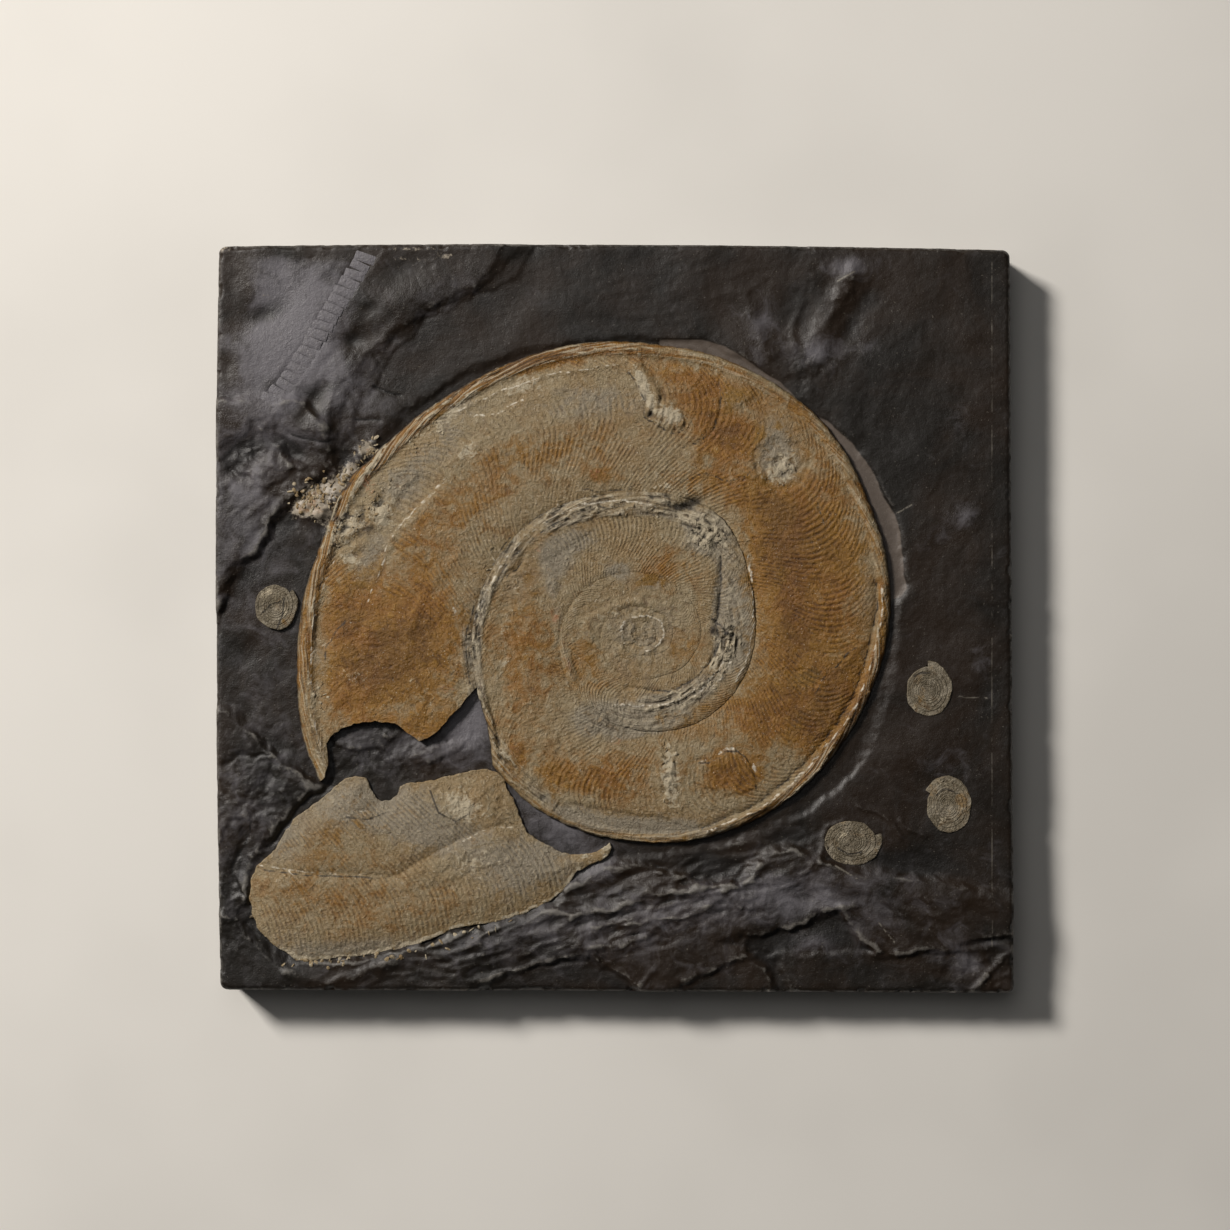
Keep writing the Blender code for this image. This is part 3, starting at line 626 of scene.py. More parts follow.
# A dark for painted shade in hollows and dimples, also used for the dark cracks.
SHALE_SHADE_AND_CRACK_DARK = linear("#13110f")
SCRAPED_GREY = linear("#5f554d")
SAWN_GREY = linear("#3d3934")
SPECK_GREY = linear("#8a8478")
CRUST_CREAM = linear("#93897a")
CRUST_RUST = linear("#8a6640")
SAW_LINE = 171.4
# The marks that the finish reads, as the sawn sides have them.
SAWN_MARKS = {
    "sawn": 1.0, "grey": 0.0, "crest": 0.0, "hollow": 0.0, "cream": 0.0, "scraped": -6.0, "pale_line": 4.0,
    "dark_line": 4.0,
}
SHALE_NOISE = [
    ("cloud", 45.0, 5.0, 0.6, 0.5), ("mottle", 11.0, 6.0, 0.66, 0.8), ("grit", 1.7, 4.0, 0.7, 0.0),
    ("fine", 0.6, 2.0, 0.6, 0.0), ("fleck", 0.9, 1.0, 0.5, 0.0),
]
SHALE_STAINS = [("grey", "mottle", 1.5), ("crest", "grit", 1.2), ("cream", "grit", 1.4)]


def shale_material():
    material, tree, place, noise, mark = new_material(
        "bituminous_shale", 0.46, 1.43, SHALE_NOISE, SAWN_MARKS)
    mixed = broken_up(tree, noise, mark, SHALE_STAINS)
    across = add(tree, "ShaderNodeSeparateXYZ", None, {"Vector": place}).outputs["X"]
    off_line = add(tree, "ShaderNodeMath", {"operation": "SUBTRACT"}, {0: across, 1: SAW_LINE * MM})
    off_line = add(tree, "ShaderNodeMath", {"operation": "ABSOLUTE"}, {0: off_line})
    line_shows = add(tree, "ShaderNodeMapRange", None, {
        "Value": noise["mottle"], "From Min": 0.45, "From Max": 0.6, "To Max": 0.3})
    beds = add(tree, "ShaderNodeVectorMath", {"operation": "MULTIPLY"}, {0: place, 1: (0.04, 0.04, 1.0)})
    beds = add(tree, "ShaderNodeTexNoise", None, {
        "Vector": beds, "Scale": 1.0 / (1.8 * MM), "Detail": 4.0, "Roughness": 0.65})
    colour = coats(tree, SHALE_DARK, [
        (noise["cloud"], 0.35, 0.65, 1.0, SHALE_BROWN),
        # partly the shale's own grey and partly a painted sheen
        (mixed["grey"], 0.85, 1.75, 1.0, SHALE_GREY_AND_SHEEN),
        (mark["scraped"], -0.4, 0.5, 0.85, SCRAPED_GREY),
        # painted shade in hollows and dimples
        (mark["hollow"], 0.0, 1.0, 1.0, SHALE_SHADE_AND_CRACK_DARK),
        # painted highlight on crests and along the edges
        (mixed["crest"], 0.85, 1.6, 0.8, SHALE_CREST_HIGHLIGHT),
        (noise["fleck"], 0.70, 0.78, 0.25, SPECK_GREY),
        (mixed["cream"], 1.05, 1.4, 1.0, CRUST_CREAM),
        (add(tree, "ShaderNodeMath", {"operation": "MULTIPLY"}, {0: noise["mottle"], 1: mark["cream"]}),
         0.42, 0.6, 0.8, CRUST_RUST),
        (mark["dark_line"], 0.8, 0.2, 0.8, SHALE_SHADE_AND_CRACK_DARK),
        (beds, 0.42, 0.64, mark["sawn"], SAWN_GREY),
        (mark["pale_line"], 0.6, 0.1, 0.5, SPECK_GREY),
        (off_line, 0.4 * MM, 0.15 * MM, line_shows, SPECK_GREY),
    ])
    relief = add(tree, "ShaderNodeMath", {"operation": "MULTIPLY_ADD"}, {
        0: noise["fine"], 1: 0.35, 2: noise["grit"]})
    rough = add(tree, "ShaderNodeMath", {"operation": "MULTIPLY_ADD"}, {0: mark["grey"], 1: 0.7, 2: 0.4})
    relief = add(tree, "ShaderNodeMath", {"operation": "MULTIPLY"}, {0: relief, 1: rough})
    lead_in(tree, colour, (noise["mottle"], 0.36, 0.58), (relief, 0.85, 0.55))
    return material


shale = shale_material()
print("made", shale.name, "with", len(shale.node_tree.nodes), "nodes")

# %% [markdown]
# Marks for the shale's finish: where it is grey, partly grey stone and partly a painted sheen; where crests
# of the relief and the slab's edges get a painted highlight; where hollows and dimples get painted shade; and
# thin scratches. A crest is what stands above a blurred copy of the relief.

# %% Marks of the shale
# Grey zones, as SWELLS: partly grey stone and partly a painted sheen on the upper left plateau and on smooth
# swells. The minus zones are painted shade in dimples.
GREY_AND_SHEEN_ZONES = [
    (-150, 135, 34, 40, 0, 1), (-128, 98, 26, 24, 0, 0.3), (-168, 50, 20, 45, 0, 0.5),
    (-174, 152, 8, 22, 0, -0.9), (-118, 126, 9, 6, 20, -0.5), (-137, 98, 5, 11, -35, -0.7),
    (-112, 140, 6, 5, 0, -0.4), (-160, 138, 6, 4, 0, -0.5), (-177, 114, 5, 7, 0, -0.6),
    (-140, 167, 18, 3.5, 0, -0.8), (-90, 158, 20, 8, 10, -0.3), (-155, -30, 24, 50, 0, 0.15),
    (-165, -100, 20, 50, 0, 0.3), (-96, -58, 40, 14, 0, 0.45), (-68, -42, 10, 16, 0, 1.2),
    (-30, -92, 28, 11, -38, 0.7), (92, 122, 12, 8, 0, 0.6), (114, 124, 5, 5, 0, 0.5),
    (106, 160, 12, 5, 0, 0.6), (10, -135, 80, 13, 8, 0.45), (80, -125, 40, 9, -10, 0.35),
    (157, 47, 8, 6, 25, 0.5), (146, 37, 6, 5, 0, 0.35), (158, 90, 9, 8, 0, 0.25), (166, -19, 5, 8, 0, 0.35),
    (91, -146, 10, 5, 0, 0.5), (150, -68, 14, 10, 0, 0.3), (-80, 150, 22, 12, 15, 0.35),
    (66, 130, 8, 18, -10, 0.4), (-10, -113, 12, 8, 10, 0.5), (160, -155, 18, 9, 0, 0.35),
    (120, -125, 60, 26, 0, 0.22), (0, -155, 120, 16, 0, 0.15),
]
CREAM_ZONES = [
    (-137, 57, 7, 5, 20, 0.9), (-143, 50, 5, 4, 30, 0.9), (-134, 49, 6, 4, 0, 0.9),
    (-126, 60, 6, 6, 40, 0.7), (-120, 67, 5, 5, 50, 0.8), (-113, 77, 5, 5, 0, 0.8),
    (-128, 42, 6, 5, 0, 0.6), (-77, 165, 5, 1.5, 0, 0.6), (-92, 168, 16, 1.2, 0, 0.5),
    (-93, 163.5, 15, 0.8, 0, 0.5), (-178, 168, 4, 3, 0, 0.5), (-159, 147, 3, 3, 0, 0.35),
]
SCRATCHES = [
    [(152.5, -35), (161, -35.6), (170, -36)], [(128, 48), (135, 52)], [(100, -112), (110, -118)],
    [(120, -138), (127, -147)], [(101, 153.5), (109, 158)],
]
SHALE_CRACKS = HAIR_CRACKS + [
    [(-129, -73), (-133, -78), (-143, -85), (-152, -97), (-158, -104)],
    [(-165, -92), (-167, -100), (-171, -106), (-174, -113), (-173, -118)],
    [(-170, -105), (-172, -122), (-166, -128)], [(-178, -136), (-174, -137), (-170, -130), (-166, -126)],
]


def nearest_of(x, y, lines, reach=4.0):
    """Distance in mm from the nearest of several lines."""
    return np.min([line_distance(x, y, line, reach) for line in lines], axis=0)


def blurred(grid, reach):
    """The grid averaged over a square of cells, along one axis and then the other."""
    width = 2 * reach + 1
    for _ in range(2):
        padded = np.pad(grid, ((reach + 1, reach), (0, 0)), mode="edge").cumsum(axis=0)
        grid = ((padded[width:] - padded[:-width]) / width).T
    return grid


# %% The face of the slab
FACE_STEP = 0.78
EDGE_WEAR = 1.2
CORNER_RADIUS = 3.5
CALM_REACH = 5.0
SLAB_TRIANGLES = 168000
HIGHEST = cad_box[1][2] / MM - 0.2


def block_place(u, v):
    """A place of the face from its shares of the width and height, with rounded corners and bowed edges."""
    over_x = np.maximum(CORNER_RADIUS - np.minimum(u, 1.0 - u) * SIZE[0], 0.0)
    over_y = np.maximum(CORNER_RADIUS - np.minimum(v, 1.0 - v) * SIZE[1], 0.0)
    rounding = 1.0 - np.maximum(over_x, over_y) / np.maximum(np.hypot(over_x, over_y), 1e-6)
    u = u + np.sign(0.5 - u) * over_x * rounding / SIZE[0]
    v = v + np.sign(0.5 - v) * over_y * rounding / SIZE[1]
    (tl_x, tl_y), (tr_x, tr_y), (br_x, br_y), (bl_x, bl_y) = CORNERS
    x = (1 - v) * (bl_x + (br_x - bl_x) * u) + v * (tl_x + (tr_x - tl_x) * u)
    y = (1 - v) * (bl_y + (br_y - bl_y) * u) + v * (tl_y + (tr_y - tl_y) * u)
    return x - BOW_LEFT * (1.0 - u) * 4.0 * v * (1.0 - v), y + BOW_TOP * v * 4.0 * u * (1.0 - u)


def worn_height(x, y, height, inward):
    """Rounds the sawn edges and knocks small chips out of them. inward is the way in from the edge."""
    chipped = smooth_step((grain(x, y, 9.0, 21) - 0.25) / 0.3) * smooth_step((2.4 - inward) / 1.6)
    worn = EDGE_WEAR * np.exp(-(inward / 0.8) ** 2) * (1.0 + 0.5 * grain(x, y, 5.0, 22))
    return height - np.maximum(worn, 0.3 * np.exp(-inward)) - 1.1 * chipped


def slab_sheet(material):
    """The face of the slab as an open sheet, thinned where it is flat, with its marks."""
    columns = round(SIZE[0] / FACE_STEP)
    rows = round(SIZE[1] / FACE_STEP)
    u, v = np.meshgrid(np.linspace(0.0, 1.0, columns), np.linspace(0.0, 1.0, rows))
    x, y = block_place(u, v)
    inward = np.minimum(np.minimum(u, 1.0 - u) * SIZE[0], np.minimum(v, 1.0 - v) * SIZE[1])
    depth = pocket_depth(x, y)
    height = shale_height(x, y, 0.3 + 0.7 * smooth_step(-depth / CALM_REACH))
    coarse = blurred(height, 5)
    fine = height - coarse
    # painted shade for the soft dimples of the face
    dimple_shade = np.clip((blurred(height, 24) - coarse - 0.25) / 1.1, 0.0, 0.8)
    in_pocket = smooth_step((depth - TUCK) / 0.8)
    height = worn_height(x, y, height, inward)
    height = np.minimum(height, HIGHEST) * (1.0 - in_pocket) + POCKET_FLOOR * in_pocket
    marks = {
        "grey": zone_share(x, y, GREY_AND_SHEEN_ZONES),
        # painted highlight on crests of the relief and in a thin line along the slab's edges
        "crest": np.clip((fine - 0.12) / 0.9 + 0.6 * smooth_step((1.7 - inward) / 0.7), 0.0, 0.8),
        # painted shade in low spots and dimples
        "hollow": np.clip(np.maximum(-fine / 1.0 - 0.25, dimple_shade), 0.0, 0.7),
        "scraped": depth_inside(x + 0.4 * grain(x, y, 3.0, 31), y, SCRAPED, 6.0),
        "cream": zone_share(x, y, CREAM_ZONES),
        "pale_line": nearest_of(x, y, SCRATCHES),
        "dark_line": nearest_of(x + 0.8 * grain(x, y, 4.0, 32), y, SHALE_CRACKS),
    }
    index = np.arange(rows * columns).reshape(rows, columns)
    quads = grid_faces(index)
    mesh = bpy.data.meshes.new("shale_slab_face")
    points = np.column_stack([x.ravel(), y.ravel(), height.ravel()])
    mesh.from_pydata((points * MM).tolist(), [], quads)
    keep_marks(mesh, marks)
    mesh.materials.append(material)
    sheet = linked("shale_slab_face", mesh)
    thin = sheet.modifiers.new("thin", "DECIMATE")
    thin.ratio = SLAB_TRIANGLES / (2.0 * len(quads))
    baked_mesh(sheet)
    return sheet


slab = slab_sheet(shale)
print("the face has", triangle_count(slab), "triangles")

# %% [markdown]
# The slab was sawn, so its sides and back are flat but for faint saw marks. The open edge of the face is
# drawn down in a few rings, each a little off the plane, and the last ring is filled as the back it lies on.
# The rings get marks of their own, so that a pale edge of the face doesn't run down the side.

# %% The sawn sides and the back
SIDE_LEVELS = [0.93, 0.8, 0.62, 0.42, 0.22, 0.05, 0.0]
SAW_WAVE = 0.22
BACK_ROUNDING = 0.5


def close_slab(obj):
    """Closes the open sheet of the face with sawn sides and a flat back."""
    shape = working_shape(obj.data)
    kept = shape.verts.layers.float
    layers = {mark: kept.get(mark) or kept.new(mark) for mark in SAWN_MARKS}
    rim = {vertex.index: vertex.co.copy() for vertex in shape.verts if vertex.is_boundary}
    source = {vertex: rim[vertex.index] for vertex in shape.verts if vertex.is_boundary}
    for level in SIDE_LEVELS:
        edges = [edge for edge in shape.edges if edge.is_boundary]
        before = {vertex for edge in edges for vertex in edge.verts}
        made = bmesh.ops.extrude_edge_only(shape, edges=edges)["geom"]
        lowered = [item for item in made if isinstance(item, bmesh.types.BMVert)]
        above = {vertex: next(edge.other_vert(vertex) for edge in vertex.link_edges
                              if edge.other_vert(vertex) in before) for vertex in lowered}
        start = [source[above[vertex]] for vertex in lowered]
        x, y = np.array([point.x for point in start]) / MM, np.array([point.y for point in start]) / MM
        inset = SAW_WAVE * (0.5 + 0.5 * grain(x + y, np.full(x.shape, 60.0 * level), 14.0, 41))
        inset = inset * (level < 0.9) + BACK_ROUNDING * (level == 0.0)
        for vertex, point, off in zip(lowered, start, inset):
            shrink_x = 1.0 - off / (SIZE[0] / 2.0)
            shrink_y = 1.0 - off / (SIZE[1] / 2.0)
            vertex.co = Vector((point.x * shrink_x, point.y * shrink_y, point.z * level))
            source[vertex] = point
            for mark, layer in layers.items():
                vertex[layer] = SAWN_MARKS[mark]
    bmesh.ops.edgeloop_fill(shape, edges=[edge for edge in shape.edges if edge.is_boundary])
    write_back(shape, obj.data)
    soften(obj.data, 50)


close_slab(slab)
slab.name = "sawn_shale_slab"
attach(slab, "root")
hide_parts("shale_slab")
print("the closed slab has", triangle_count(slab), "triangles")

# %% [markdown]
# ## The finish of the shells
# The shell wall turned to calcite, and iron from the mud stained it: limonite, which is tan where it is thin
# and orange brown where it is thick. It soaks in, so its coats darken what lies below. The fine ribs are pale
# on their crests, where the stain wore off, and brown between. The finish reads the rib's phase from the
# mesh, so that the stripes follow every bend of the ribs, and the same wave drives a bump, because a rib is
# hardly wider than a face of the mesh.

# %% Limonite-stained calcite
SHELL_TAN = linear("#877759")
SHELL_OCHRE = linear("#826a44")
SHELL_BROWN = linear("#4e3a22")
IRON_STAIN = linear("#f0c359")
IRON_DEEP = linear("#cbc4a6")
SHELL_RUST = linear("#8e5c38")
SHELL_GREY = linear("#807766")
SHELL_CREAM = linear("#aa9e86")
RIB_PALE = linear("#a08c68")
RIB_BROWN = linear("#392912")
# Dark for cracks and for painted shade in hollows.
CRACK_AND_SHADE_DARK = linear("#1f1912")
# Pale for pale cracks and layer edges, for painted highlights on crests, and for painted glints.
PALE_LINE_AND_HIGHLIGHT = linear("#cfc6b4")
SHELL_MARKS = [
    "rib", "ribbed", "orange", "rust", "grey", "cream", "hollow", "pale_line", "dark_line", "layer", "along",
    "layered",
]
SHELL_NOISE = [
    ("cloud", 24.0, 6.0, 0.66, 0.8), ("mottle", 7.0, 6.0, 0.7, 0.8), ("patch", 2.6, 4.0, 0.7, 0.5),
    ("grit", 1.1, 3.0, 0.75, 0.0), ("glint", 0.7, 1.0, 0.5, 0.0),
]
STAINS = [("orange", "mottle", 2.2), ("rust", "patch", 2.2), ("grey", "mottle", 2.0), ("cream", "patch", 2.2)]
RIB_BUMP = 0.16


def shell_material(name, roughness, tan, ochre, rib_contrast):
    material, tree, _, noise, mark = new_material(name, roughness, 1.5, SHELL_NOISE, SHELL_MARKS)
    stain = broken_up(tree, noise, mark, STAINS)
    split = add(tree, "ShaderNodeCombineXYZ", None, {"X": mark["layer"], "Y": mark["along"]})
    split = add(tree, "ShaderNodeTexNoise", None, {
        "Vector": split, "Scale": 1.0, "Detail": 3.0, "Roughness": 0.6})
    wave = add(tree, "ShaderNodeMath", {"operation": "MULTIPLY"}, {0: mark["rib"], 1: 2.0 * math.pi})
    wave = add(tree, "ShaderNodeMath", {"operation": "COSINE"}, {0: wave})
    shows = add(tree, "ShaderNodeMapRange", None, {
        "Value": noise["mottle"], "From Min": 0.32, "From Max": 0.54, "To Min": 0.3})
    shows = add(tree, "ShaderNodeMath", {"operation": "MULTIPLY"}, {0: shows, 1: mark["ribbed"]})
    wave = add(tree, "ShaderNodeMath", {"operation": "MULTIPLY"}, {0: wave, 1: shows})
    streak = add(tree, "ShaderNodeMath", {"operation": "MULTIPLY_ADD"}, {0: noise["grit"], 1: 1.4, 2: wave})
    colour = coats(tree, tan, [
        (noise["cloud"], 0.38, 0.64, 0.9, ochre),
        (noise["mottle"], 0.54, 0.72, 0.45, SHELL_BROWN),
        (stain["grey"], 1.2, 1.75, 0.9, SHELL_GREY),
        (noise["patch"], 0.54, 0.68, 0.45, SHELL_CREAM),
        (noise["patch"], 0.44, 0.30, 0.55, SHELL_BROWN),
        (streak, 0.95, 1.7, 0.36 * rib_contrast, RIB_PALE),
        (streak, 0.45, -0.35, 0.42 * rib_contrast, RIB_BROWN),
        (noise["grit"], 0.57, 0.70, 0.45, SHELL_CREAM),
        (noise["grit"], 0.43, 0.28, 0.55, RIB_BROWN),
        (stain["orange"], 1.2, 1.9, 1.0, IRON_STAIN, "MULTIPLY"),
        (stain["orange"], 1.8, 2.5, 0.9, IRON_DEEP, "MULTIPLY"),
        (split, 0.52, 0.62, mark["layered"], SHELL_CREAM),
        (split, 0.47, 0.38, mark["layered"], RIB_BROWN),
        (stain["rust"], 1.5, 1.9, 0.8, SHELL_RUST),
        (stain["cream"], 1.5, 1.9, 0.9, SHELL_CREAM),
        # painted shade in hollows
        (mark["hollow"], 0.0, 1.0, 0.9, CRACK_AND_SHADE_DARK),
        (mark["dark_line"], 0.75, 0.2, 0.85, CRACK_AND_SHADE_DARK),
        # pale cracks and layer edges, and painted highlights on crests
        (mark["pale_line"], 0.75, 0.2, 0.85, PALE_LINE_AND_HIGHLIGHT),
        # painted glints
        (noise["glint"], 0.70, 0.78, 0.5, PALE_LINE_AND_HIGHLIGHT),
    ])
    relief = add(tree, "ShaderNodeMath", {"operation": "MULTIPLY_ADD"}, {
        0: noise["patch"], 1: 2.0, 2: noise["grit"]})
    relief = add(tree, "ShaderNodeMath", {"operation": "MULTIPLY_ADD"}, {0: wave, 1: RIB_BUMP, 2: relief})
    strands = add(tree, "ShaderNodeMath", {"operation": "MULTIPLY"}, {0: split, 1: mark["layered"]})
    relief = add(tree, "ShaderNodeMath", {"operation": "MULTIPLY_ADD"}, {0: strands, 1: 3.0, 2: relief})
    lead_in(tree, colour, (noise["mottle"], roughness - 0.1, roughness + 0.12), (relief, 0.9, 0.6))
    return material


stained_shell = shell_material("limonite_stained_calcite", 0.55, SHELL_TAN, SHELL_OCHRE, 1.0)
pale_stained_shell = shell_material("grey_weathered_calcite", 0.6, linear("#6a604d"), linear("#5a5140"), 0.6)
print("made", stained_shell.name, "and", pale_stained_shell.name)

# %% [markdown]
# ## The coil
# A shell like this grows by a rule: each turn is the last one made larger, and its ribs crowd closer on the
# older turns. Geometry Nodes draw one turn of it as a ribbon on a grid, with named inputs for the rule, and
# keep the turn, the share across the whorl and the rib's phase on the points. One function makes such a tree
# for the big shell, whose larger turns get finer ribbons, and one for the four young shells.

# %% The tree of one turn
TURN_INPUTS = [
    ("First turn", "Float"), ("Last turn", "Float"), ("Steps", "Int"), ("Lines", "Int"),
    ("Mouth radius", "Float"), ("Growth", "Float"), ("Mouth angle", "Float"), ("Ribs in last turn", "Float"),
    ("Crowding", "Float"), ("Rib height", "Float"), ("Opens at", "Float"), ("Material", "Material"),
]
SECTION_TOP = 5.0
LEAN_LOW, LEAN_HIGH = -20.0, 20.0


def new_tree(name, inputs):
    """A new tree with named inputs, and its inputs by name as the values to work with."""
    tree = bpy.data.node_groups.new(name, "GeometryNodeTree")
    for label, kind in inputs:
        tree.interface.new_socket(label, in_out="INPUT", socket_type="NodeSocket" + kind)
    tree.interface.new_socket("Geometry", in_out="OUTPUT", socket_type="NodeSocketGeometry")
    return tree, {socket.name: socket for socket in add(tree, "NodeGroupInput").outputs}


def follow_rule(tree, known, rule):
    """Works a rule out step by step. Each step is a name, an operation, and a first and a second value."""
    for label, operation, first, second in rule:
        known[label] = add(tree, "ShaderNodeMath", {"operation": operation}, {
            0: known.get(first, first), 1: known.get(second, second)})


def draw_curve(node, table, low, high):
    """Draws a table of (share, value) in a curve node, so that its height runs from low to high."""
    points = [(share, (value - low) / (high - low)) for share, value in table]
    curve = node.mapping.curves[0]
    curve.points[0].location, curve.points[1].location = points[0], points[-1]
    for point in points[1:-1]:
        curve.points.new(*point)
    node.mapping.update()


# The rule of the coil, step by step: name, operation, first and second value.
COIL_RULE = [
    ("growth so far", "POWER", "Growth", "turn"), ("outer", "MULTIPLY", "Mouth radius", "growth so far"),
    ("inner", "DIVIDE", "outer", "Growth"), ("width", "SUBTRACT", "outer", "inner"),
    ("way out", "MULTIPLY", "width", "across"), ("radius", "ADD", "inner", "way out"),
    ("turned", "MULTIPLY", "turn", 2.0 * math.pi), ("angle", "ADD", "Mouth angle", "turned"),
    ("cosine", "COSINE", "angle", 0.0), ("sine", "SINE", "angle", 0.0),
    ("x", "MULTIPLY", "radius", "cosine"), ("y", "MULTIPLY", "radius", "sine"),
    ("lean in turns", "DIVIDE", "lean", 360.0), ("rib turn", "SUBTRACT", "turn", "lean in turns"),
    ("share kept", "DIVIDE", 1.0, "Crowding"), ("share lost", "SUBTRACT", 1.0, "share kept"),
    ("ribs in all", "DIVIDE", "Ribs in last turn", "share lost"),
    ("crowding so far", "POWER", "Crowding", "rib turn"),
    ("rib", "MULTIPLY", "ribs in all", "crowding so far"), ("rib angle", "MULTIPLY", "rib", 2.0 * math.pi),
    ("wave", "COSINE", "rib angle", 0.0), ("rib relief", "MULTIPLY", "wave", "Rib height"),
    ("section relief", "MULTIPLY", "section", MM), ("z", "ADD", "section relief", "rib relief"),
]


def turn_tree(name, covered, uncovered, lean):
    """One turn of a coil. covered and uncovered are sections across a whorl, lean is the curve of a rib."""
    tree, known = new_tree(name, TURN_INPUTS)
    grid = add(tree, "GeometryNodeMeshGrid", None, {
        "Size X": 1.0, "Size Y": 1.0, "Vertices X": known["Steps"], "Vertices Y": known["Lines"]})
    place = add(tree, "ShaderNodeSeparateXYZ", None, {
        "Vector": add(tree, "GeometryNodeInputPosition")}).outputs
    known["turn"] = add(tree, "ShaderNodeMapRange", {"clamp": False}, {
        "Value": place["X"], "From Min": -0.5, "From Max": 0.5, "To Min": known["First turn"],
        "To Max": known["Last turn"]})
    known["across"] = add(tree, "ShaderNodeMath", {"operation": "ADD"}, {0: place["Y"], 1: 0.5})
    for label, table, low, high in (("covered", covered, -SECTION_TOP, SECTION_TOP),
                                    ("uncovered", uncovered, -SECTION_TOP, SECTION_TOP),
                                    ("lean", lean, LEAN_LOW, LEAN_HIGH)):
        drawn = add(tree, "ShaderNodeFloatCurve", None, {"Value": known["across"]})
        draw_curve(drawn, table, low, high)
        known[label] = add(tree, "ShaderNodeMath", {"operation": "MULTIPLY_ADD"}, {
            0: drawn, 1: high - low, 2: low})
    past = add(tree, "ShaderNodeMath", {"operation": "SUBTRACT"}, {0: known["turn"], 1: known["Opens at"]})
    opening = add(tree, "ShaderNodeMapRange", {"interpolation_type": "SMOOTHSTEP"}, {
        "Value": past, "From Min": -0.014, "From Max": 0.014})
    known["section"] = add(tree, "ShaderNodeMix", {"data_type": "FLOAT"}, {
        "Factor": opening, "A": known["covered"], "B": known["uncovered"]})
    follow_rule(tree, known, COIL_RULE)
    flow = grid.outputs["Mesh"]
    for mark in ("turn", "across", "rib"):
        flow = add(tree, "GeometryNodeStoreNamedAttribute", {"data_type": "FLOAT", "domain": "POINT"}, {
            "Geometry": flow, "Name": mark, "Value": known[mark]})
    place = add(tree, "ShaderNodeCombineXYZ", None, {"X": known["x"], "Y": known["y"], "Z": known["z"]})
    flow = add(tree, "GeometryNodeSetPosition", None, {"Geometry": flow, "Position": place})
    flow = add(tree, "GeometryNodeRealizeInstances", None, {"Geometry": flow})
    flow = add(tree, "GeometryNodeSetMaterial", None, {"Geometry": flow, "Material": known["Material"]})
    add(tree, "NodeGroupOutput", None, {"Geometry": flow})
    return tree


def run_tree(name, base, tree, values):
    """Runs a tree with its named inputs on a base mesh, and keeps what it makes as the object's mesh."""
    obj = linked(name, base)
    grow = obj.modifiers.new("grow", "NODES")
    grow.node_group = tree
    for socket in tree.interface.items_tree:
        if socket.in_out == "INPUT" and socket.name in values:
            grow[socket.identifier] = values[socket.name]
    baked_mesh(obj)
    return obj


INNER_WHORL = [(0.0, 2.3), (0.12, 2.8), (0.4, 3.1), (0.7, 2.9), (0.79, 3.3), (0.9, 3.3), (1.0, 2.5)]
LAST_WHORL = [
    (0.0, 2.1), (0.12, 3.1), (0.4, 3.4), (0.7, 3.1), (0.86, 2.5), (0.9, 2.1), (0.94, 2.8), (0.97, 2.4),
    (1.0, 0.6),
]
RIB_LEAN = [
    (0.0, 0.0), (0.15, -6.0), (0.3, -11.5), (0.45, -15.3), (0.55, -16.2), (0.65, -16.0), (0.73, -14.8),
    (0.8, -12.7), (0.9, -8.1), (1.0, -2.1),
]
coil_tree = turn_tree("one_turn_of_the_coil", INNER_WHORL, LAST_WHORL, RIB_LEAN)
print("the tree has", len(coil_tree.nodes), "nodes and", len(TURN_INPUTS), "inputs")

# %% [markdown]
# Crushing and weather come after growth. Each ribbon is taken to the crushed outline and the broken mouth,
# then gets what happened to it: plates of shell flaked off, cracks, crumbled spots, ribs rubbed away.

# %% What happened to the shell, place by place
# Lines that are used twice: as relief or the edge of a plate, and as a pale or dark line.
RIM_CREST = [
    (121, 15), (121.5, 3), (119, -8), (116.5, -18), (113.5, -28), (110, -38), (105, -46), (99, -54),
    (90, -65), (79, -76), (66, -86), (58, -89.5), (50, -93), (42, -96.5),
]
INNER_RING = [
    (4, -11), (2.5, -6), (4, -1), (9, 1.5), (15, 1.5), (21, -1), (22.5, -6), (20, -11.5), (14, -14.5),
]
RING_CRACK = [
    (48, 28), (48, 15), (47, 5), (46, -2), (48, -10), (44, -18), (38, -25), (32, -30), (25, -33), (15, -32),
]
FLAKE_EDGE = [(47, 108), (48, 100), (47, 92), (44, 86), (38, 80), (30, 78)]
PATCH_EDGE = [(37, -66), (45, -64), (50, -60), (56, -60), (60, -64), (63, -70), (64, -77)]
SCAR_EDGE = [(-78, 62), (-86, 54), (-92, 48), (-98, 42), (-102, 36), (-105, 30)]
TOP_SCAR_EDGE = [(-64, 92), (-55, 93), (-47, 97), (-42, 100)]
LEFT_SPLIT = [(-50, 19), (-43, 24), (-41, 30)]
RIGHT_SEAM = [(60, 30), (62.5, 14), (63, -2), (60, -18), (54, -30)]
LOWER_SEAM = [(0, -39), (10, -39.5), (20, -39), (28, -37), (36, -32)]
LEFT_CREST = [(-131, -68), (-136, -48), (-138, -25), (-137, 0), (-128, 27)]
TOP_CREST = [(-78, 92), (-64, 98), (-50, 104), (-30, 111), (0, 115.5)]
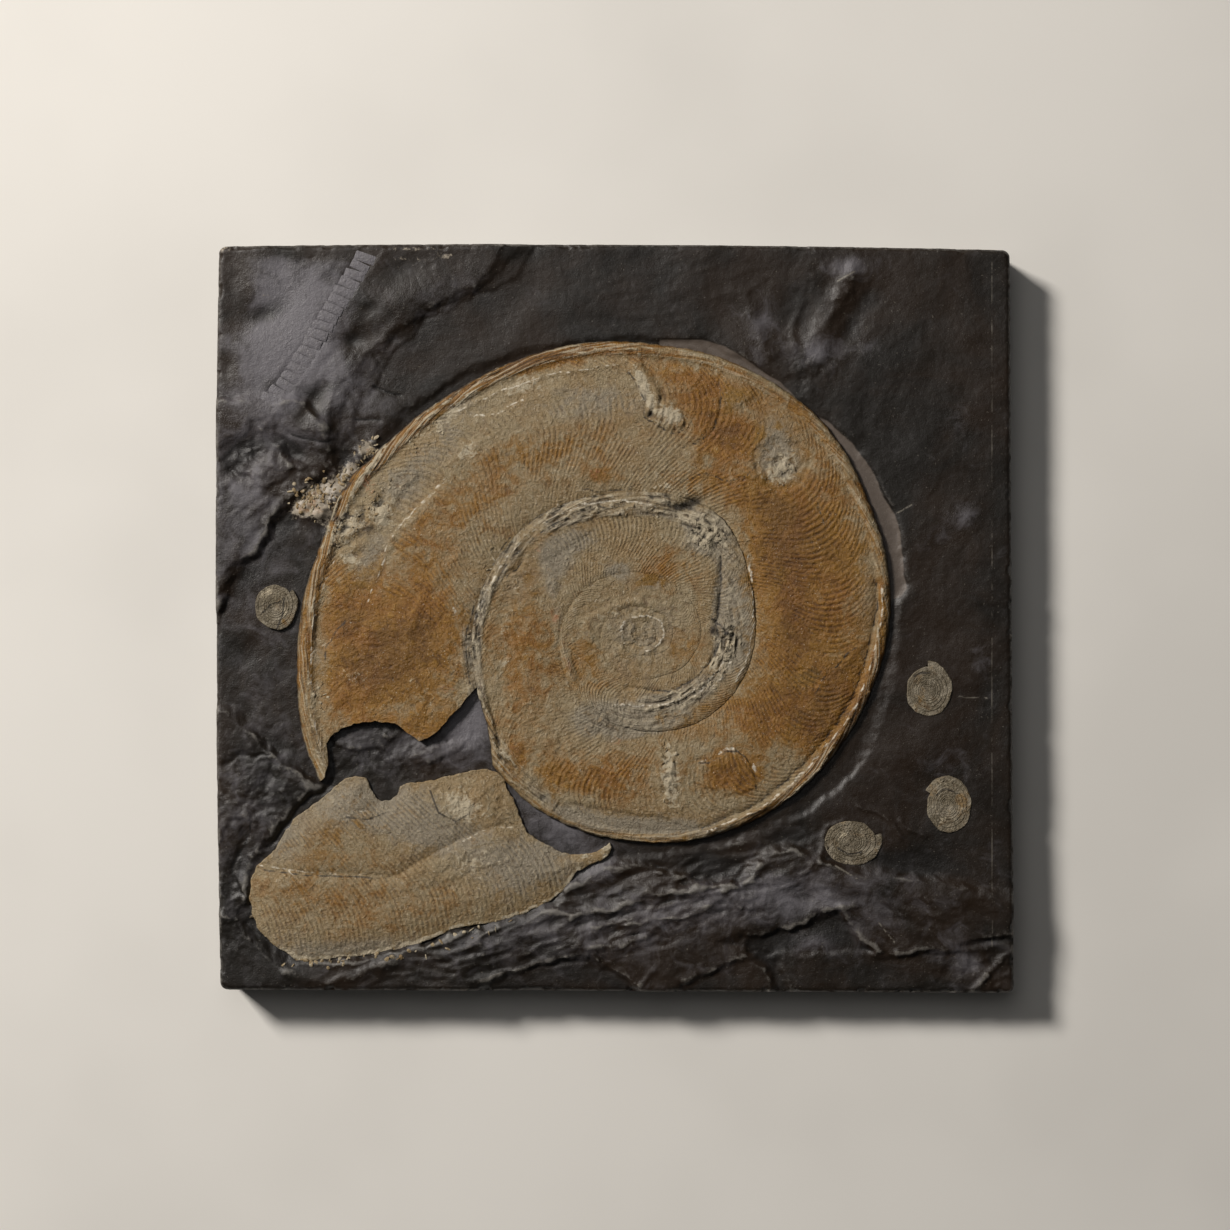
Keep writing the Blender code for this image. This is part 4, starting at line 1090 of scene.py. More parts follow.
# Plates and flakes: height, run of the edge, outline.
SHELL_PLATES = [
    (-0.7, 0.8, SCAR_EDGE + [(-108, 24), (-110, 18), (-112, 12), (-120, 2), (-128, -8), (-132, -17),
        (-137, -14), (-134, 18), (-127, 32), (-115, 40), (-104, 44), (-98, 56), (-88, 66)]),
    (-0.35, 0.8, TOP_SCAR_EDGE + [(-36, 102), (-30, 105), (-22, 110), (-30, 114), (-55, 105), (-75, 96)]),
    (1.3, 0.8, [(7, 117), (12, 116.5), (16, 110), (20.5, 103), (20, 98), (17, 95), (14, 92), (15.5, 99),
        (12, 107), (8, 112)]),
    (1.1, 0.8, [(18, 98), (25, 98), (30, 93), (31.5, 88), (29, 86), (24, 86.5), (19, 88), (16, 91)]),
    (0.6, 0.7, [(47, 108), (48, 100), (50, 96), (56, 96), (63, 101), (60, 108), (52, 111)]),
    (-0.35, 0.9, [(48, 100), (47, 92), (44, 86), (38, 80), (46, 74), (62, 76), (66, 88), (56, 95)]),
    (-0.8, 1, [(-25, -82), (-10, -85), (0, -87), (15, -89), (25, -91), (31, -94), (33, -99), (20, -101),
        (0, -99.5), (-15, -95), (-28, -87)]),
    (0.55, 0.6, PATCH_EDGE + [(52, -80), (40, -76)]),
    (-0.7, 0.9, [(72, 58), (84, 60), (90, 72), (84, 80), (72, 82), (62, 76), (64, 66)]),
    (-0.3, 0.7, [(76, -24), (84, -22), (94, -26), (92, -31), (80, -30)]),
    (0.35, 0.7, [(102, -22), (106, -16), (111, -12), (116, -9), (112, -14), (107, -20), (103, -25)]),
    (0.5, 0.7, [(-34, 26), (-20, 34), (-8, 42), (-12, 46), (-30, 40), (-40, 30)]),
    (0.35, 0.9, [(-73, 69), (-66, 74), (-59, 80), (-62, 82), (-72, 77), (-77, 71)]),
]
# Raised lines and grooves: height, half width, line.
SHELL_LINES = [
    (0.45, 0.7, LOWER_SEAM), (-0.6, 0.8, RING_CRACK + [(5, -31)]),
    (0.5, 1.1, [(-12, -10), (-12, 0), (-6, 3), (0, 6.5), (8, 8), (15, 7), (20, 4), (23, 0)]),
    (0.55, 0.8, INNER_RING), (-0.5, 2, [(47, 20), (47, 4), (46, -14)]), (0.35, 0.8, RIGHT_SEAM),
    (-0.8, 0.9, LEFT_SPLIT), (-0.8, 1, [(15, 92), (17, 95), (18.5, 98)]),
    (0.4, 0.8, [(34, 105), (38, 109), (39, 113)]), (-0.4, 0.7, FLAKE_EDGE),
    (0.3, 0.8, [(28, -55), (26, -66), (24, -76), (23, -88)]), (0.8, 1.1, RIM_CREST),
    (-0.6, 1, [(x - 2.4, y + 1.4) for x, y in RIM_CREST]), (0.5, 1, LEFT_CREST), (0.6, 1, TOP_CREST),
    (-0.5, 1.4, [(-97, 40), (-104, 24), (-112, 8), (-118, -12), (-114, -30)]),
    (0.5, 2, [(-70, 30), (-82, 18), (-92, 0), (-96, -20)]),
    (-0.4, 1.2, [(60, 34), (64, 18), (64, 0), (60, -18)]),
]
SHELL_SWELLS = [
    (34, 52, 7, 2.6, 20, -2.4), (48, -4, 3.4, 2.4, 0, 1.6), (39, 38, 8, 7, 0, 0.5),
    (-7, 21, 3, 2.5, 0, 0.5), (12, -7, 3, 2.5, 0, 0.5), (46, -24, 6, 3, -60, 0.5),
    (-100, -20, 40, 24, 60, 0.5), (-30, 84, 40, 16, 10, 0.4), (90, 10, 18, 40, 0, 0.5),
    (24, -72, 6, 17, 5, 0.5), (-100, 20, 10, 22, -30, -0.5), (-84, 44, 12, 18, -45, 0.5),
    (52, 82, 12, 10, 0, -0.4), (-40, -20, 12, 34, 0, 0.4), (-20, 58, 14, 5, 0, -0.4),
    (62, -52, 14, 10, -30, 0.4), (2, -68, 22, 9, 0, 0.4), (100, 40, 10, 20, 20, -0.4),
]
# Places where the shell is crumbled: as swells, with the amount.
CRUMBLED = [
    (-122, 42, 12, 9, 30, 1), (-108, 52, 6, 8, 20, 1), (-118, 28, 6, 5, 0, 0.7), (74, 68, 11, 9, 20, 0.8),
    (40, 38, 9, 8, 0, 0.7), (25, -72, 5, 17, 5, 0.8), (-118, -36, 14, 7, 0, 0.35),
    (-88, -42, 14, 9, 20, 0.4), (8, -6, 22, 18, 0, 0.45), (-68, 76, 6, 5, 30, 0.5),
    (-42, 106, 10, 5, 15, 0.4), (50, -5, 5, 6, 0, 0.7), (-50, -10, 10, 40, 0, 0.25),
    (-4, -52, 18, 6, 0, 0.3), (-30, -58, 16, 10, -30, 0.3),
]
RIBS_RUBBED = [
    (-113, 24, 8, 22, -25, 0.7), (-110, -42, 26, 9, 0, 0.8), (-136, -30, 6, 40, 0, 0.8),
    (-40, 10, 16, 44, 0, 0.5), (-10, 105, 40, 8, 5, 0.5), (74, 68, 14, 12, 0, 0.8),
    (30, -94, 60, 6, -4, 0.8), (10, -6, 24, 20, 0, 0.9), (112, -12, 8, 14, -10, 0.7),
    (25, -72, 8, 18, 0, 1), (-45, -70, 18, 10, -30, 0.6), (48, 92, 12, 12, 0, 0.5),
    (118, 20, 6, 40, 0, 0.5), (-60, 96, 24, 8, 30, 0.7), (-98, -14, 26, 24, 10, 0.55),
    (-42, -30, 16, 30, 20, 0.5), (-70, 60, 24, 10, 45, 0.3), (60, -50, 18, 16, 0, 0.3),
    (-10, 60, 30, 8, 0, 0.35), (0, -74, 26, 8, 0, 0.3),
]
print(len(SHELL_PLATES), "plates and flakes,", len(SHELL_LINES), "raised lines and grooves")

# %% Where the shell is orange, grey or cream
ORANGE_ZONES = [
    (-98, -14, 30, 26, 10, 1.3), (-118, -34, 16, 18, 0, 0.7), (-84, 16, 14, 20, 0, 0.35),
    (-122, 10, 12, 16, 0, 0.8), (-85, -48, 16, 10, 20, 0.8), (51, 84, 15, 12, -20, 1.3),
    (78, 26, 18, 32, 10, 1.2), (82, -14, 20, 22, 0, 0.9), (104, 30, 12, 30, 10, 0.8),
    (104, -30, 12, 20, -25, 0.9), (92, -50, 18, 14, -40, 0.8), (-62, 54, 26, 12, 50, 0.5),
    (-20, 78, 36, 11, 10, 0.5), (0, -72, 30, 12, 0, 0.65), (54, -70, 14, 10, 0, 1.1),
    (-46, -63, 5, 8, 0, 1), (-26, -70, 10, 8, 0, 0.7), (-42, -16, 13, 38, 0, 0.65),
    (22, 22, 18, 10, 20, 0.7), (75, 50, 16, 16, 0, 0.7), (-90, 40, 12, 22, -30, 0.4),
    (-5, 65, 8, 4, 0, 0.7), (48, 62, 22, 8, 0, 0.7), (30, -46, 16, 10, 20, 0.6), (66, -44, 20, 14, 0, 0.8),
    (35, 100, 12, 8, 0, 0.5), (-30, 40, 8, 4, 30, 0.5), (-104, 84, 18, 5, 48, 0.9),
    (40, 108, 34, 6, -16, 0.8), (-30, 117, 30, 4, 14, 0.9), (-14, -20, 14, 16, 0, 0.6),
    (31, -14, 10, 9, 0, 0.6), (88, 80, 10, 20, 40, 0.4),
]
RUST_ZONES = [
    (-27, 0, 2.5, 12, 12, 0.55), (-21, -22, 2.5, 7, 20, 0.5), (-76, -32, 5, 4, 0, 0.5),
    (-8, 66, 4, 2.5, 0, 0.7), (-112, 62, 3, 8, 20, 0.7), (-46, -58, 4, 5, 0, 0.5), (2, -56, 4, 2.5, 0, 0.5),
    (-60, -34, 4, 10, 0, 0.35), (42, 84, 6, 4, 0, 0.4), (-35, 32, 4, 3, 0, 0.4),
]
GREY_SHELL = [
    (-112, 24, 7, 22, -25, 0.8), (-96, 60, 12, 12, 40, 0.6), (-10, 98, 30, 10, 5, 0.6),
    (-20, 34, 14, 8, 25, 0.8), (76, 66, 12, 12, 0, 0.6), (55, -4, 7, 20, 0, 0.7), (54, 100, 8, 7, 0, 0.8),
    (20, -95, 40, 6, -4, 0.9), (-20, -88, 14, 6, -20, 0.7), (-4, -46, 14, 8, 0, 0.7),
    (86, -27, 10, 5, 0, 0.7), (-135, -22, 6, 22, 0, 0.6), (40, -38, 14, 10, 40, 0.4),
    (12, -8, 24, 20, 0, 0.5), (-64, -8, 5, 24, 0, 0.7), (112, 14, 8, 24, 0, 0.5), (40, 36, 12, 10, 0, 0.8),
    (2, 22, 7, 5, 0, 0.9), (18, 17, 7, 4, 0, 0.9), (-28, 24, 6, 14, 0, 0.7), (8, -46, 24, 8, 0, 0.9),
    (47, 4, 3, 18, 0, 0.9), (57, 0, 6, 24, 0, 0.7), (-44, 14, 8, 12, 0, 0.5), (10, 78, 20, 8, 0, 0.3),
    (-75, 96, 20, 6, 35, 0.4), (72, 80, 10, 14, 0, 0.8), (-80, 78, 26, 8, 42, 0.5),
]
CREAM_SHELL = [
    (-122, 42, 10, 7, 30, 0.9), (-106, 48, 5, 8, 20, 0.9), (-120, 27, 5, 4, 0, 0.8),
    (-67, 76, 6, 4, 40, 0.8), (-42, 106, 11, 5, 15, 0.8), (75, 68, 11, 8, 20, 0.8), (40, 38, 9, 7, 0, 0.7),
    (25, -72, 5, 17, 4, 0.9), (13, 105, 3, 11, 22, 1.2), (25, 92, 7, 5, -20, 1), (-92, -32, 16, 8, 0, 0.35),
    (-118, -26, 10, 5, 0, 0.35), (28, 60, 14, 4, 0, 0.5), (-50, -12, 6, 34, 0, 0.35),
    (-76, 92, 18, 4, 40, 0.6), (-36, 22, 8, 14, -30, 0.3), (44, -22, 4, 6, 20, 0.5), (0, 2, 12, 8, 10, 0.4),
    (60, -26, 6, 4, 0, 0.3), (-95, 58, 14, 3, 42, 0.4),
]
# Dark cracks. The line inside the rim crest is a crease whose dark is painted shade.
SHELL_CRACKS = [
    [(-14, 59), (-8, 58), (0, 58.5), (6, 58.5), (8, 61)],
    [(30, 62), (37, 65), (41, 66), (46, 64), (52, 62), (60, 65), (64, 70)], [(92, 51), (95, 42)],
    [(-122, 0), (-128, -8), (-131, -12), (-132, -18), (-128, -25)], RING_CRACK, FLAKE_EDGE,
    [(100, -22), (104, -17), (110, -13)], [(96, -24), (93, -30), (90, -36)], PATCH_EDGE, LEFT_SPLIT,
    [(x - 2.6, y + 1.5) for x, y in RIM_CREST],
    [(6, 112), (10, 107), (13.5, 99), (13, 92), (16, 89.5), (24, 85), (29, 84.5), (32, 87)],
    [(44, 0), (48, -3), (51, -7), (47, -9)],
    [(-66, -30), (-68, -12), (-66, 0), (-60, 15), (-53, 30), (-46, 38), (-33, 48), (-20, 53), (-8, 57)],
    [(-62, 2), (-55, 16), (-48, 26), (-38, 36), (-26, 44), (-12, 50), (4, 52)],
    [(-128, 42), (-122, 46), (-114, 48), (-108, 56), (-104, 64)],
]
# Pale lines: pale cracks and layer edges, and painted highlights along crests such as the rim crest.
SHELL_PALE_AND_HIGHLIGHT_LINES = [
    RIM_CREST, INNER_RING, RIGHT_SEAM, LEFT_CREST, TOP_CREST, [(-104, 30), (-108, 18), (-113, 6)],
    [(42, -28), (46, -24), (50, -19)], [(44, -31), (49, -26), (53, -18)], [(36, -35), (43, -29)],
    [(-64, 0), (-57, 15), (-50, 27), (-40, 38), (-28, 46), (-14, 52), (4, 54), (20, 51)], SCAR_EDGE,
    [(-136, -14.5), (-131, -11)], [(-73, 5), (-71, 0)], [(38, -65), (41, -63.5)],
    [(47, -61), (50, -59), (54, -59)], [(63, -66), (64, -70)], [(-84, 56), (-76, 66), (-70, 72)],
    LOWER_SEAM, TOP_SCAR_EDGE,
]
# Bands of crumbled crust along the inner seams: half width, amount, line.
CRUST_BANDS = [
    (6, 1, [(26, 52), (36, 46), (43, 36)]), (3.5, 0.5, [(43, 36), (50, 26), (54, 10), (55, -4)]),
    (5, 1, [(53, -10), (47, -21), (40, -30), (28, -37), (12, -41)]),
    (3.5, 0.8, [(-66, -6), (-66, -24), (-62, -42), (-55, -56), (-46, -68), (-32, -80)]),
    (6, 0.7, [(-12, -42), (0, -47), (16, -46), (28, -42)]),
    (2, 0.5, [(-29, 16), (-26, 4), (-24, -10), (-19, -26)]),
]
# Small deep hollows with painted shade in them, as swells.
PAINTED_SHADE_HOLLOWS = [
    (33, 52, 7, 2.2, 20, 1.3), (44.5, -5, 1.5, 2, 0, 1.2), (51, -6.5, 1.8, 1.5, 0, 1),
    (47, 10, 1.6, 12, 0, 0.5), (-112, 41, 3, 2, 30, 0.8), (-126, 45, 3, 2, 0, 0.8),
    (16, 93, 2.2, 1.6, -40, 0.9), (13.5, 100, 1.2, 6, -15, 0.5),
]
# How strongly the rim is split into pale layers: (angle, strength).
RIM_LAYERS = [
    (202, 0.5), (262, 0.6), (295, 1.1), (345, 1.2), (365, 0.7), (400, 0.6), (440, 0.6), (460, 1),
    (478, 1.4), (520, 1.4), (538, 0.9), (563, 0.8),
]
# Where the keel of the second turn shows as a ragged rope: (angle, share across where it starts).
ROPE_START = [(40, 0.74), (70, 0.7), (90, 0.67), (118, 0.7), (150, 0.8), (175, 0.86), (202, 0.9)]
print(len(ORANGE_ZONES) + len(GREY_SHELL) + len(CREAM_SHELL), "stained zones,", len(SHELL_CRACKS), "cracks")

# %% One turn, crushed and weathered
RIB_COUNT = 222.0
RIB_CROWDING = 1.48
RIB_HEIGHT = 0.10
LEVEL = 2.8
SEAM_TUCK = 0.55
BREAK_REACH = 22.5
SHELL_FLOOR = 20.45


def ribbon_grid(tree, values):
    """The turn, the share across, the rib's phase and the place of each point of a ribbon, as grids."""
    ribbon = run_tree("ribbon", bpy.data.meshes.new("ribbon"), tree, values)
    mesh = ribbon.data
    shape = (values["Steps"], values["Lines"])
    grown = {mark: mark_values(mesh, mark) for mark in ("turn", "across", "rib")}
    order = np.lexsort((np.round(grown["across"], 5), np.round(grown["turn"], 6)))
    places = corner_places(mesh)[order].reshape(*shape, 3)
    bpy.data.objects.remove(ribbon)
    bpy.data.meshes.remove(mesh)
    return [grown[mark][order].reshape(shape) for mark in ("turn", "across", "rib")] + [places]


def weathered_turn(values, opened):
    """Points and marks of one turn as grids, from the tree's ribbon. opened is for the last turn."""
    turn, across, rib, places = ribbon_grid(coil_tree, values)
    z = places[..., 2]
    angle = MOUTH_ANGLE + 360.0 * turn
    if opened:
        share = np.clip(1.0 + 360.0 * turn / BREAK_REACH, 0.0, 1.0)
        angle = angle + share * (along_table(across, BREAK_EDGE) - MOUTH_ANGLE)
        angle += share * 0.25 * grain(across * 60.0, angle, 2.5, 51)
    x, y = coil_place(angle, across)
    out = np.hypot(x - SHELL_CENTRE[0], y - SHELL_CENTRE[1])
    inmost = np.exp(-(out / 34.0) ** 2)
    x, y = nudged(x, y, 1.6 * inmost, 15.0, 65, 1)
    y = SHELL_CENTRE[1] + (y - SHELL_CENTRE[1]) * (1.0 - 0.2 * inmost)
    z = LEVEL + (z - LEVEL) * (0.3 + 0.7 * smooth_step((out - 18.0) / 40.0))
    ragged = 1.0 + (0.35 / np.maximum(out, 5.0)) * grain(x, y, 5.0, 52) * smooth_step((across - 0.93) / 0.07)
    x, y = drawn_in(x, y, SHELL_CENTRE, ragged)
    size = np.minimum(1.0, 0.3 + 0.7 * out / 65.0)
    under = np.clip(1.0 - across * (values["Lines"] - 1.0), 0.0, 1.0)
    shrink = 1.0 - under * np.minimum(np.where(out < 3.0, 4.0, 1.0) * SEAM_TUCK / np.maximum(out, 0.1), 0.97)
    x, y = drawn_in(x, y, SHELL_CENTRE, shrink)
    pulled_rib = rib * RIB_CROWDING ** ((angle - MOUTH_ANGLE) / 360.0 - turn)
    crumbled = zone_share(x, y, CRUMBLED)
    rim = smooth_step((across - 0.89) / 0.04) * opened
    ribbed = np.clip(1.0 - bells(x, y, RIBS_RUBBED) - crumbled, 0.0, 1.0) * (1.0 - 0.7 * rim)
    ribbed *= np.clip(0.8 + 1.1 * grain(x, y, 17.0, 53), 0.15, 1.0)
    old_wave, new_wave = np.cos(2.0 * math.pi * rib), np.cos(2.0 * math.pi * pulled_rib)
    height = (z - RIB_HEIGHT * old_wave) * size + RIB_HEIGHT * size * ribbed * new_wave
    ragged_x, ragged_y = nudged(x, y, 0.7, 4.0, 54)
    height += plates(ragged_x, ragged_y, SHELL_PLATES)
    height += crests(ragged_x, ragged_y, SHELL_LINES) + bells(x, y, SHELL_SWELLS)
    along_arc = np.radians(angle) * out
    strands = grain(along_arc / 8.0, out + 1.2 * grain(x, y, 9.0, 68, 1), 1.9, 56)
    strands += 0.5 * grain(x, y, 2.6, 67, 2)
    in_rope = smooth_step((across - along_table(angle, ROPE_START)) / 0.04)
    in_rope = in_rope * smooth_step((angle - 25.0) / 30.0) * smooth_step((226.0 - angle) / 16.0)
    for half_width, amount, line in CRUST_BANDS:
        off = line_distance(ragged_x, ragged_y, line, 2.0 * half_width) / half_width
        in_rope = np.maximum(in_rope, amount * smooth_step(1.5 - off))
    in_rope = in_rope * np.clip(0.95 + 0.7 * grain(x, y, 16.0, 69, 2), 0.4, 1.0)
    height += in_rope * (1.1 * strands + 0.2) * (0.5 + 0.5 * size)
    waved_out = out + 0.8 * grain(x, y, 16.0, 62, 1)
    layers = grain(along_arc / 30.0, waved_out, 2.3, 57)
    rim = rim * along_table(angle, RIM_LAYERS)
    height += rim * 0.7 * layers
    height += crumbled * 0.85 * stepped(1.6 * grain(x, y, 4.5, 58, 4), 2.0)
    height += 0.32 * size * grain(x, y, 21.0, 59, 2) + 0.07 * grain(x, y, 2.4, 60, 2)
    height += 0.13 * size * stepped(1.5 * grain(x, y, 9.0, 61, 4), 5.0) - 0.5 * under
    height = np.minimum(height, HIGHEST - BED_HEIGHT)
    rough = np.clip(in_rope + crumbled, 0.0, 1.0)
    low = blurred(height, 3) - height
    orange = np.clip(bells(x, y, ORANGE_ZONES) + rim * (0.4 - 0.9 * layers), 0.0, 1.5)
    marks = {
        "rib": pulled_rib, "ribbed": ribbed * (1.0 - in_rope),
        "orange": orange * (1.0 - 0.7 * rough), "rust": zone_share(x, y, RUST_ZONES),
        "grey": np.clip(bells(x, y, GREY_SHELL) + 0.5 * in_rope, 0.0, 1.0),
        "cream": np.clip(bells(x, y, CREAM_SHELL) + in_rope * (0.35 + 0.7 * strands)
                         + rim * (0.1 + 1.2 * layers), 0.0, 1.0),
        # painted shade in low spots of the crust, rope and rim, and in the shaded hollows
        "hollow": np.clip(np.clip((low - 0.16) / 0.6, 0.0, 0.6) * (0.3 + rough + rim)
                          + bells(ragged_x, ragged_y, PAINTED_SHADE_HOLLOWS), 0.0, 1.0),
        "layer": waved_out / 1.3, "along": along_arc / 26.0,
        "layered": np.clip(0.7 * rim + 0.7 * in_rope, 0.0, 0.8),
        "dark_line": nearest_of(ragged_x, ragged_y, SHELL_CRACKS) + 0.5 * np.abs(grain(x, y, 5.0, 63)),
        "pale_line": nearest_of(ragged_x, ragged_y, SHELL_PALE_AND_HIGHLIGHT_LINES) + 0.7 * np.abs(grain(x, y, 4.0, 64)),
    }
    return np.dstack([x, y, BED_HEIGHT + height]), marks


# %% A ribbon becomes a solid
def closed_band(points, marks, floor, whole_rows=1):
    """Corners, faces and marks of a ribbon closed with upright walls and a floor. The floor is made of strips
    across the ribbon, and of small faces in its last rows, where the strips would cut a hollow edge off."""
    steps, lines = points.shape[:2]
    top = np.arange(steps * lines).reshape(steps, lines)
    first_whole = steps - whole_rows
    edge = np.zeros((steps, lines), bool)
    edge[0, :] = True
    edge[first_whole:, :] = True
    edge[:, [0, -1]] = True
    low = np.full((steps, lines), -1)
    low[edge] = steps * lines + np.arange(edge.sum())
    under = points[edge].copy()
    under[:, 2] = floor
    ring = [(0, j) for j in range(lines)] + [(i, lines - 1) for i in range(1, steps)]
    ring += [(steps - 1, j) for j in range(lines - 2, -1, -1)] + [(i, 0) for i in range(steps - 2, 0, -1)]
    walls = [(int(top[a]), int(low[a]), int(low[b]), int(top[b])) for a, b in zip(ring, ring[1:] + ring[:1])]
    floors = []
    for i in range(first_whole):
        near = low[i, :] if i == 0 else low[i, [0, -1]]
        far = low[i + 1, ::-1] if i + 1 == first_whole else low[i + 1, [-1, 0]]
        floors.append([int(corner) for corner in np.concatenate([near, far])])
    floors += grid_faces(low[first_whole:])
    corners = np.concatenate([points.reshape(-1, 3), under])
    kept = {mark: np.concatenate([values.ravel(), values[edge]]) for mark, values in marks.items()}
    return corners, grid_faces(top) + walls + floors, kept


def joined(name, bands, material):
    """One piece from several closed bands."""
    corners, faces, marks, start = [], [], {}, 0
    for band_corners, band_faces, band_marks in bands:
        corners.append(band_corners)
        faces += [[corner + start for corner in face] for face in band_faces]
        start += len(band_corners)
        for mark, values in band_marks.items():
            marks.setdefault(mark, []).append(values)
    return piece(name, np.concatenate(corners), faces, material,
                 {mark: np.concatenate(values) for mark, values in marks.items()})


# %% The big shell
# Each turn: first turn, last turn, steps, lines. The mouth is turn 0, and older turns count down.
TURNS = [
    (-1.0, 0.0, 900, 62), (-2.002, -0.998, 600, 40), (-3.004, -1.998, 380, 18), (-4.004, -2.998, 240, 10),
    (-5.004, -3.998, 140, 7), (-6.0, -4.998, 90, 6),
]
coil_bands = []
for first, last, steps, lines in TURNS:
    points, marks = weathered_turn({
        "First turn": first, "Last turn": last, "Steps": steps, "Lines": lines,
        "Mouth radius": SHELL_RADIUS * GROWTH_PER_TURN ** (MOUTH_ANGLE / 360.0) * MM,
        "Growth": GROWTH_PER_TURN, "Mouth angle": math.radians(MOUTH_ANGLE), "Ribs in last turn": RIB_COUNT,
        "Crowding": RIB_CROWDING, "Rib height": RIB_HEIGHT * MM, "Opens at": -1.0, "Material": stained_shell,
    }, last == 0.0)
    broken_rows = round(steps * BREAK_REACH / 360.0) + 2
    coil_bands.append(closed_band(points, marks, SHELL_FLOOR, broken_rows if last == 0.0 else 1))
coil = joined("ammonite_shell", coil_bands, stained_shell)
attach(coil, "root")
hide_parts("ammonite_coil")
print("the coil has", triangle_count(coil), "triangles in", len(coil_bands), "turns")

# %% [markdown]
# ## The broken living chamber
# The last part of the shell broke off, turned outwards and was pressed into the mud below the coil. It has no
# coil left to follow, so it is an outline filled with points and a low dome of heights, with one long crease.
# Its ribs stand upright at the lower edge and lean more and more to the left above it, about 2 mm apart.

# %% The chamber's relief and stains
CHAMBER_CELL = 0.62
CHAMBER_RISE = 2.5
CHAMBER_RIM = 0.3
# Ribs: how many to a mm across, the lower edge, and the ribs gained by leaning, by the height above it.
RIBS_ACROSS = 0.45
LOWER_EDGE = [
    (-166, -156), (-138, -155.5), (-105, -151.5), (-78, -143), (-52, -137.5), (-29, -128), (-17, -115),
    (0, -104),
]
RIBS_LEANING = [
    (0, 0), (10, 0.7), (14, 1.07), (18, 1.6), (22, 2.32), (26, 3.2), (30, 4.3), (34, 5.55), (38, 6.9),
    (90, 25.6),
]
CHAMBER_CREASE = [
    (-163, -113), (-150, -114), (-140, -115.5), (-118, -116), (-100, -117), (-93, -113), (-70, -100),
    (-60, -96), (-50, -94), (-44, -95),
]
CHAMBER_PLATES = [
    (-0.4, 0.8, [(-83, -72), (-76, -80), (-68, -88), (-58, -93), (-50, -88), (-50, -74), (-58, -69),
        (-70, -70)]),
    (0.3, 0.7, [(-100, -117), (-93, -113), (-70, -100), (-60, -96), (-46, -94), (-30, -103), (-30, -112),
        (-56, -112), (-80, -120), (-96, -124)]),
    (-0.3, 0.6, [(-118, -87), (-114, -85.8), (-110, -87.3), (-114, -88.8)]),
]
CHAMBER_CRUMBLED = [
    (-72, -82, 12, 9, -35, 0.7), (-66, -110, 18, 8, 10, 0.5), (-54, -80, 6, 8, 0, 0.4),
    (-120, -150, 30, 4, 5, 0.3), (-12, -104, 12, 4, 15, 0.5), (-158, -120, 6, 10, 0, 0.3),
]
CHAMBER_ORANGE = [
    (-128, -100, 26, 20, 20, 0.45), (-135, -128, 34, 18, 10, 0.45), (-90, -132, 34, 12, 10, 0.4),
]
CHAMBER_CREAM = [
    (-69, -85, 11, 8, -30, 0.9), (-64, -110, 20, 8, 5, 0.5), (-14, -104, 12, 3, 15, 0.5),
    (-150, -152, 12, 4, 0, 0.5), (-100, -148, 24, 3, 10, 0.5),
]
CHAMBER_GREY = [
    (-90, -92, 34, 14, -20, 0.9), (-40, -112, 24, 14, 20, 0.9), (-150, -100, 14, 14, 0, 0.7),
    (-120, -86, 20, 10, 0, 0.7), (-120, -150, 40, 6, 5, 0.7), (-150, -140, 14, 14, 0, 0.4),
]
CHAMBER_PALE_LINES = [
    [(-162, -112), (-150, -113.5), (-140, -115), (-125, -116)],
    [(-69, -101), (-62, -97), (-55, -94.5), (-42, -94.5)], [(-122, -89.5), (-114, -87), (-106, -87)],
    [(-150, -113), (-144, -118), (-140, -124)],
]
CHAMBER_CRACKS = [
    [(-160, -114), (-140, -116.5), (-118, -117), (-104, -118)], [(-122, -90), (-112, -91), (-104, -88)],
    [(-84, -78), (-80, -88), (-72, -92), (-66, -88)],
]


def chamber_height(x, y, depth):
    """Height of the chamber above the bed in mm, with the rib's phase and how far the ribs show."""
    above = y - along_table(x, LOWER_EDGE)
    rib = RIBS_ACROSS * x + along_table(above, RIBS_LEANING) + 0.25 * grain(x, y, 40.0, 71, 1)
    crumbled = zone_share(x, y, CHAMBER_CRUMBLED)
    ribbed = np.clip(1.0 - 1.2 * crumbled, 0.0, 1.0) * smooth_step(depth / 4.0)
    ribbed *= np.clip(0.8 + 0.5 * grain(x, y, 16.0, 72), 0.2, 1.0)
    ragged_x, ragged_y = nudged(x, y, 0.7, 4.0, 73)
    height = CHAMBER_RIM + CHAMBER_RISE * smooth_step(depth / 15.0) ** 0.7
    off_crease = line_distance(ragged_x, ragged_y, CHAMBER_CREASE, 12.0)
    crease = 0.8 * np.exp(-(off_crease / 3.5) ** 2) + 0.3 * np.exp(-(off_crease / 0.9) ** 2)
    height -= crease * smooth_step(depth / 8.0)
    height += plates(ragged_x, ragged_y, CHAMBER_PLATES)
    height += 0.06 * ribbed * np.cos(2.0 * math.pi * rib)
    height += crumbled * 0.6 * stepped(1.6 * grain(x, y, 4.0, 75, 4), 2.0) * smooth_step(depth / 2.0)
    height += 0.25 * grain(x, y, 18.0, 76, 2) + 0.06 * grain(x, y, 2.4, 77, 2)
    height += 0.12 * stepped(1.5 * grain(x, y, 9.0, 80, 4), 5.0) * smooth_step(depth / 3.0)
    return height, rib, ribbed


